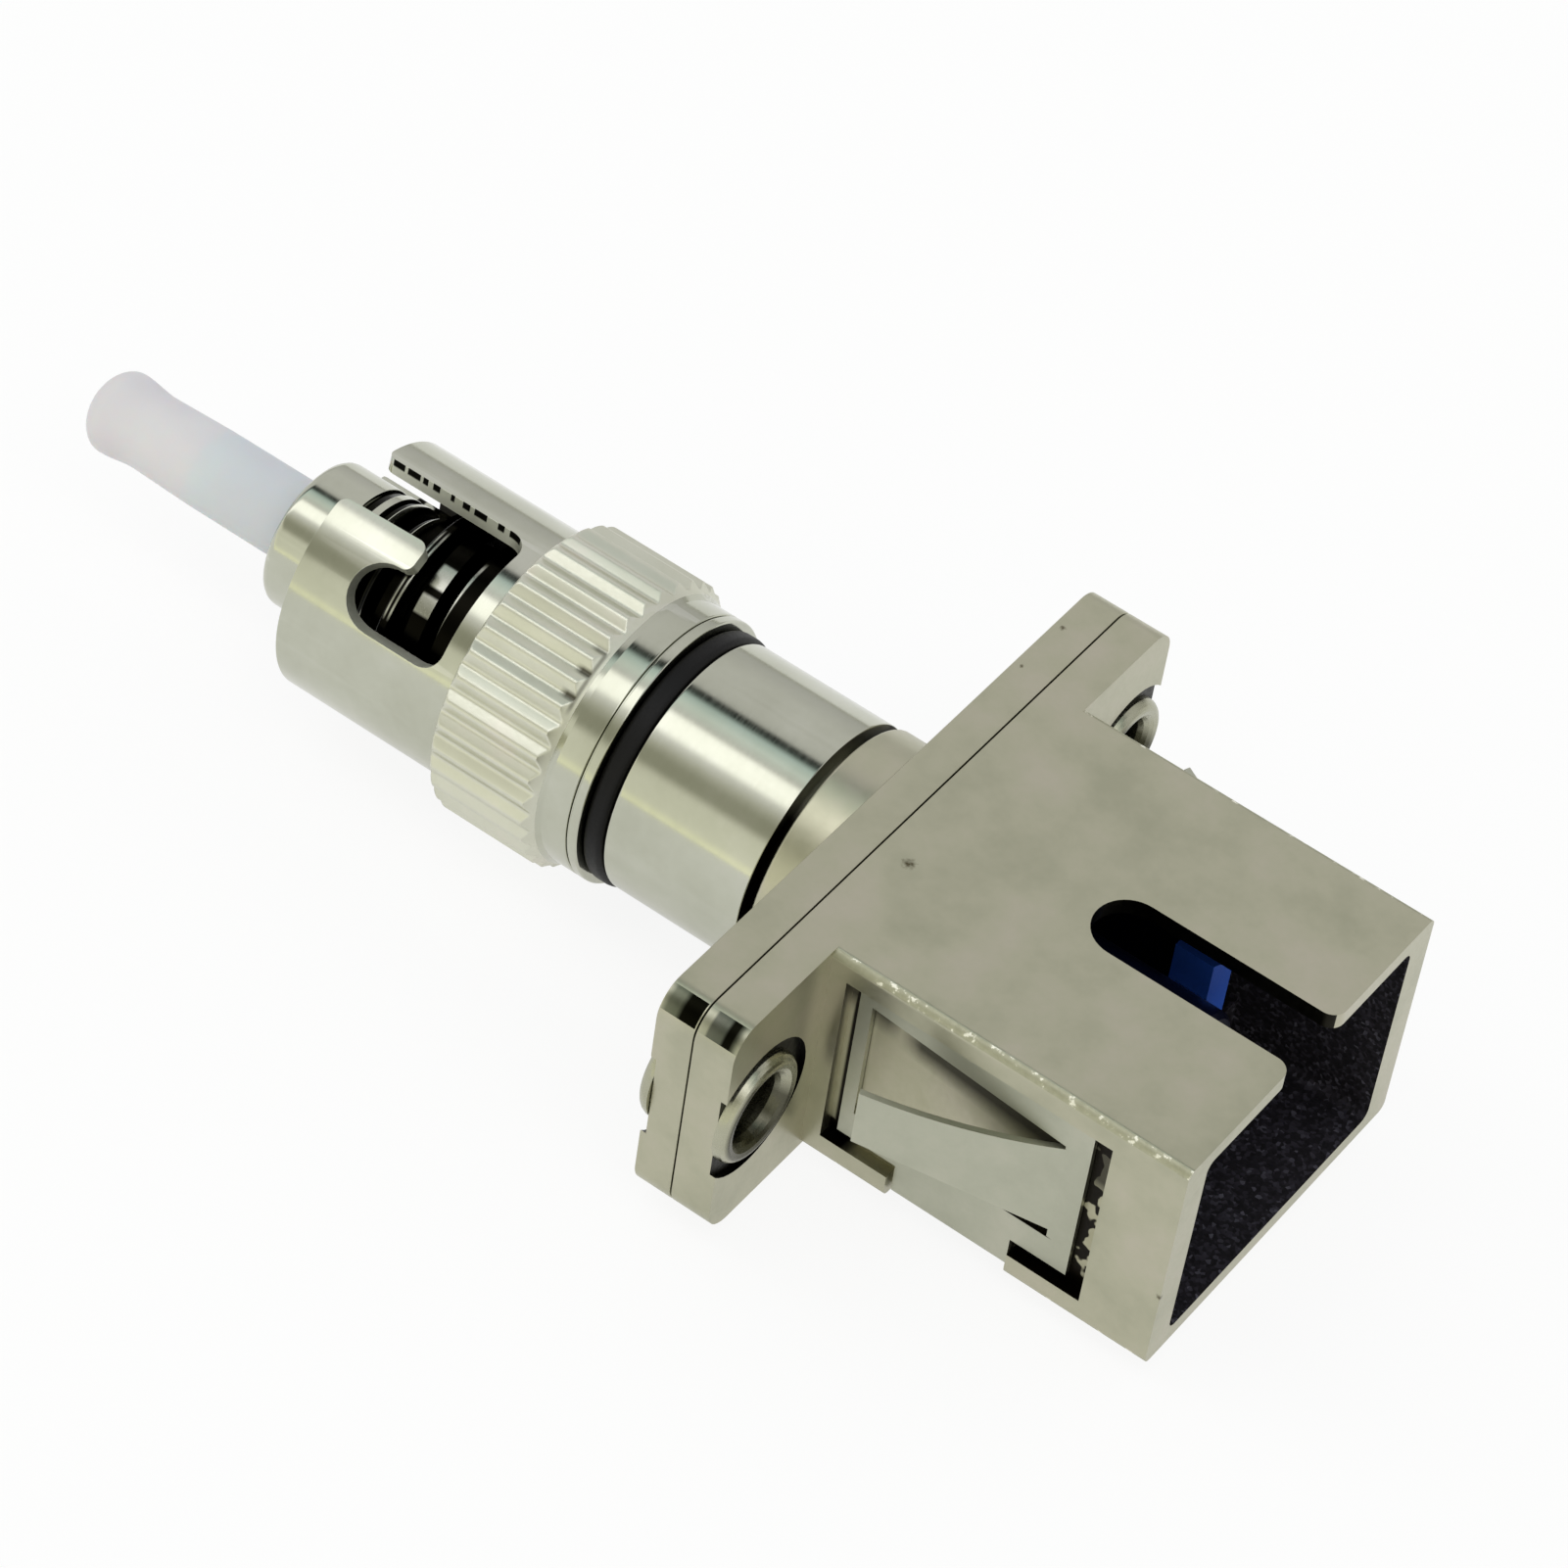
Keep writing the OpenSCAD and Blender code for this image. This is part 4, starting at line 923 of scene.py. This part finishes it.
def socket_housing():
    mesh = from_node("socket_housing")

    def inner(face):
        c = face.calc_center_median()
        n = face.normal
        inside = (c.x > 2.5 and abs(c.y) < 5.4 and abs(c.z) < 3.8)
        return inside and (n.x < 0.9 or c.x < MOUTH_X - 0.3)

    def recess(face):
        c = face.calc_center_median()
        n = face.normal
        floor = abs(n.y) > 0.9 and abs(abs(c.y) - RECESS_Y) < 0.02
        ledge = (abs(n.z) > 0.9 and RECESS_Y - 0.05 < abs(c.y) < HOUSE_W
                 and abs(c.z - RECESS_LOW_Z) < 0.02)
        return c.x > 1.9 and (floor or ledge)

    def keyway(face):
        c = face.calc_center_median()
        return (3.75 < c.z < 4.25 and abs(c.y) < 1.3 and c.x > 5
                and abs(face.normal.z) < 0.1)

    # The inside takes the lining's painted shade, the recess its painted shade and shadow,
    # and the keyway's walls the near black painted shade.
    for face in mesh.faces:
        face.material_index = (1 if inner(face) else 2 if recess(face)
                               else 4 if keyway(face) else 0)
    seat_faces(mesh, 4, 1.2)
    round_edges(mesh, 0.05, lambda e: True, 2, 40)
    corner_faces(mesh, 3)
    for face in mesh.faces:
        c = face.calc_center_median()
        if (abs(face.normal.x) < 0.1 and 0.3 < abs(face.normal.z) < 0.95
                and abs(abs(c.y) - HOUSE_W) < 0.2
                and abs(abs(c.z) - HALF_H) < 0.2 and c.x > 1.5):
            face.material_index = 5
    piece("cast_housing", mesh, [
        CAST_NICKEL, SHADED_LINING, RECESS, CORNER_REFLECTION, SHADED_BORE, CAST_EDGE],
        "adapter", ["socket_housing"])


FINISH = {
    "snap_ring": SHADED_WIRE, "ferrule": CERAMIC,
    "ferrule_seat": BRIGHT_STEEL, "panel_clip": SPRING_SHEET,
    "eyelet_left": EYELET, "eyelet_right": EYELET,
    "sleeve_holder": BLUE_PLASTIC, "alignment_sleeve": CERAMIC,
    "stub_ferrule": CERAMIC, "stub_holder": BRIGHT_STEEL,
    "fibre_link": FIBRE_COAT, "coupling_nut": TURNED_NICKEL,
    "nut_tail_ring": TURNED_NICKEL, "spring_washer_rear": BRIGHT_STEEL,
    "coupling_spring": SHADED_WIRE, "spring_washer_front": BRIGHT_STEEL,
    "plug_barrel": TURNED_NICKEL, "ferrule_cap": CAP_PLASTIC,
    "bumper_ring": BLACK_RUBBER, "body_tube": TURNED_NICKEL,
    "plug_flange": CAST_NICKEL, "socket_housing": CAST_NICKEL,
}
for node_name, finish in FINISH.items():
    for place in NODES[node_name].material_slots:
        place.material = finish

body_tube()
rubber_ring()
tail_ring()
plug_barrel()
dust_cap()
washers()
coil_spring()
nut_barrel()
nut_grip()
plug_flange()
socket_housing()


# ------------------------------------------------------ floor, light, camera

def white_stage():
    """A white floor that looks plain white to the camera and to metal, and
    keeps the object's soft shadow."""
    mesh = bmesh.new()
    bmesh.ops.create_grid(mesh, x_segments=1, y_segments=1, size=1.5)
    data = bpy.data.meshes.new("white_floor")
    mesh.to_mesh(data)
    mesh.free()
    floor = bpy.data.objects.new("white_floor", data)
    bpy.context.scene.collection.objects.link(floor)
    data.transform(Matrix.Translation((0, 0, CAD_BOX[0].z - 0.2 * MM)))
    mat, shader = new_material("white paper")
    shader.inputs["Base Color"].default_value = linear("#ffffff")
    shader.inputs["Roughness"].default_value = 0.9
    shader.inputs["Specular IOR Level"].default_value = 0.1
    path = add(mat, "LightPath")
    seen = add(mat, "Math", {"operation": "MAXIMUM"}, {
        0: path.outputs["Is Camera Ray"],
        1: path.outputs["Is Transmission Ray"]})
    seen = add(mat, "Math", {"operation": "MULTIPLY"}, {
        0: seen.outputs[0], 1: 0.88})
    mirrored = add(mat, "Math", {"operation": "MULTIPLY"}, {
        0: path.outputs["Is Glossy Ray"], 1: 0.58})
    half = add(mat, "Math", {"operation": "MAXIMUM"}, {
        0: seen.outputs[0], 1: mirrored.outputs[0]})
    glow = add(mat, "Emission", links={
        "Color": linear("#ffffff"), "Strength": 1.0})
    both = add(mat, "MixShader", links={
        "Fac": half.outputs[0], 1: shader.outputs["BSDF"],
        2: glow.outputs["Emission"]})
    mat.node_tree.links.new(
        both.outputs[0],
        mat.node_tree.nodes["Material Output"].inputs["Surface"])
    data.materials.append(mat)


def studio_world():
    """Even white light round the object. What metal mirrors has the soft
    strips and the darker gaps between them of a small light tent, which run
    along the object and change with the height above the table."""
    world = bpy.data.worlds.new("light tent")
    bpy.context.scene.world = world
    world.use_nodes = True
    back = world.node_tree.nodes["Background"]
    link = world.node_tree.links.new
    ray = add(world, "TexCoord").outputs["Generated"]
    parts = add(world, "SeparateXYZ", links={0: ray})
    turn = add(world, "Math", {"operation": "ARCTAN2"}, {
        0: parts.outputs["Z"], 1: parts.outputs["Y"]})
    share = add(world, "MapRange", links={
        "Value": turn.outputs[0], "From Min": 0.0, "From Max": math.pi,
        "To Min": 0.0, "To Max": 1.0})
    # (degrees from the far side over the top, brightness, colour)
    bands = [
        (0, 0.45, "#fffff0"), (6, 0.62, "#ffffff"), (30, 0.78, "#ffffff"),
        (60, 0.78, "#ffffff"), (67, 0.7, "#ffffff"), (70, 0.03, "#d0e0d8"),
        (75, 0.03, "#c0e0d8"), (79, 0.8, "#e8ffff"), (88, 1.0, "#f4fffc"),
        (96, 0.8, "#ffffff"), (100, 1.9, "#ffffff"), (114, 1.9, "#ffffff"),
        (119, 1.0, "#ffffff"), (128, 0.6, "#fffff0"), (134, 0.42, "#ffffe8"),
        (144, 0.42, "#ffffe8"), (151, 0.93, "#fffff0"), (172, 1.0, "#fffff0"),
        (178, 1.3, "#ffffe0"), (180, 1.3, "#ffffe0")]
    light = add(world, "ValToRGB", links={"Fac": share.outputs["Result"]})
    band = light.color_ramp
    while len(band.elements) < len(bands):
        band.elements.new(0.5)
    for element, (degrees, level, code) in zip(band.elements, bands):
        element.position = degrees / 180
        element.color = [c * level / 2 for c in linear(code)[:3]] + [1]
    twice = add(world, "VectorMath", {"operation": "SCALE"},
                {0: light.outputs["Color"], "Scale": 2.0})
    path = add(world, "LightPath")
    both = add(world, "Mix", {"data_type": "RGBA"}, {
        0: path.outputs["Is Camera Ray"], 6: twice.outputs[0],
        7: (1, 1, 1, 1)})
    link(both.outputs[2], back.inputs["Color"])
    back.inputs["Strength"].default_value = 1.0


def photo_camera():
    """The camera that was fitted to the photograph."""
    data = bpy.data.cameras.new("photo_camera")
    camera = bpy.data.objects.new("photo_camera", data)
    bpy.context.scene.collection.objects.link(camera)
    data.sensor_width = 36
    data.lens = 147.98
    data.clip_start = 0.005
    data.clip_end = 10
    right = Vector((0.79955844, 0.5907407, 0.10831308))
    up = Vector((-0.49579751, 0.54744684, 0.67415635))
    back = Vector((0.33895594, -0.59272876, 0.73060351))
    spot = Vector((59.76284509, -112.74757107, 140.6194538)) * MM
    turn = Matrix((right, up, back)).transposed().to_4x4()
    camera.matrix_world = Matrix.Translation(spot) @ turn
    bpy.context.scene.camera = camera


white_stage()
studio_world()
photo_camera()
bpy.context.scene.view_settings.view_transform = "Standard"
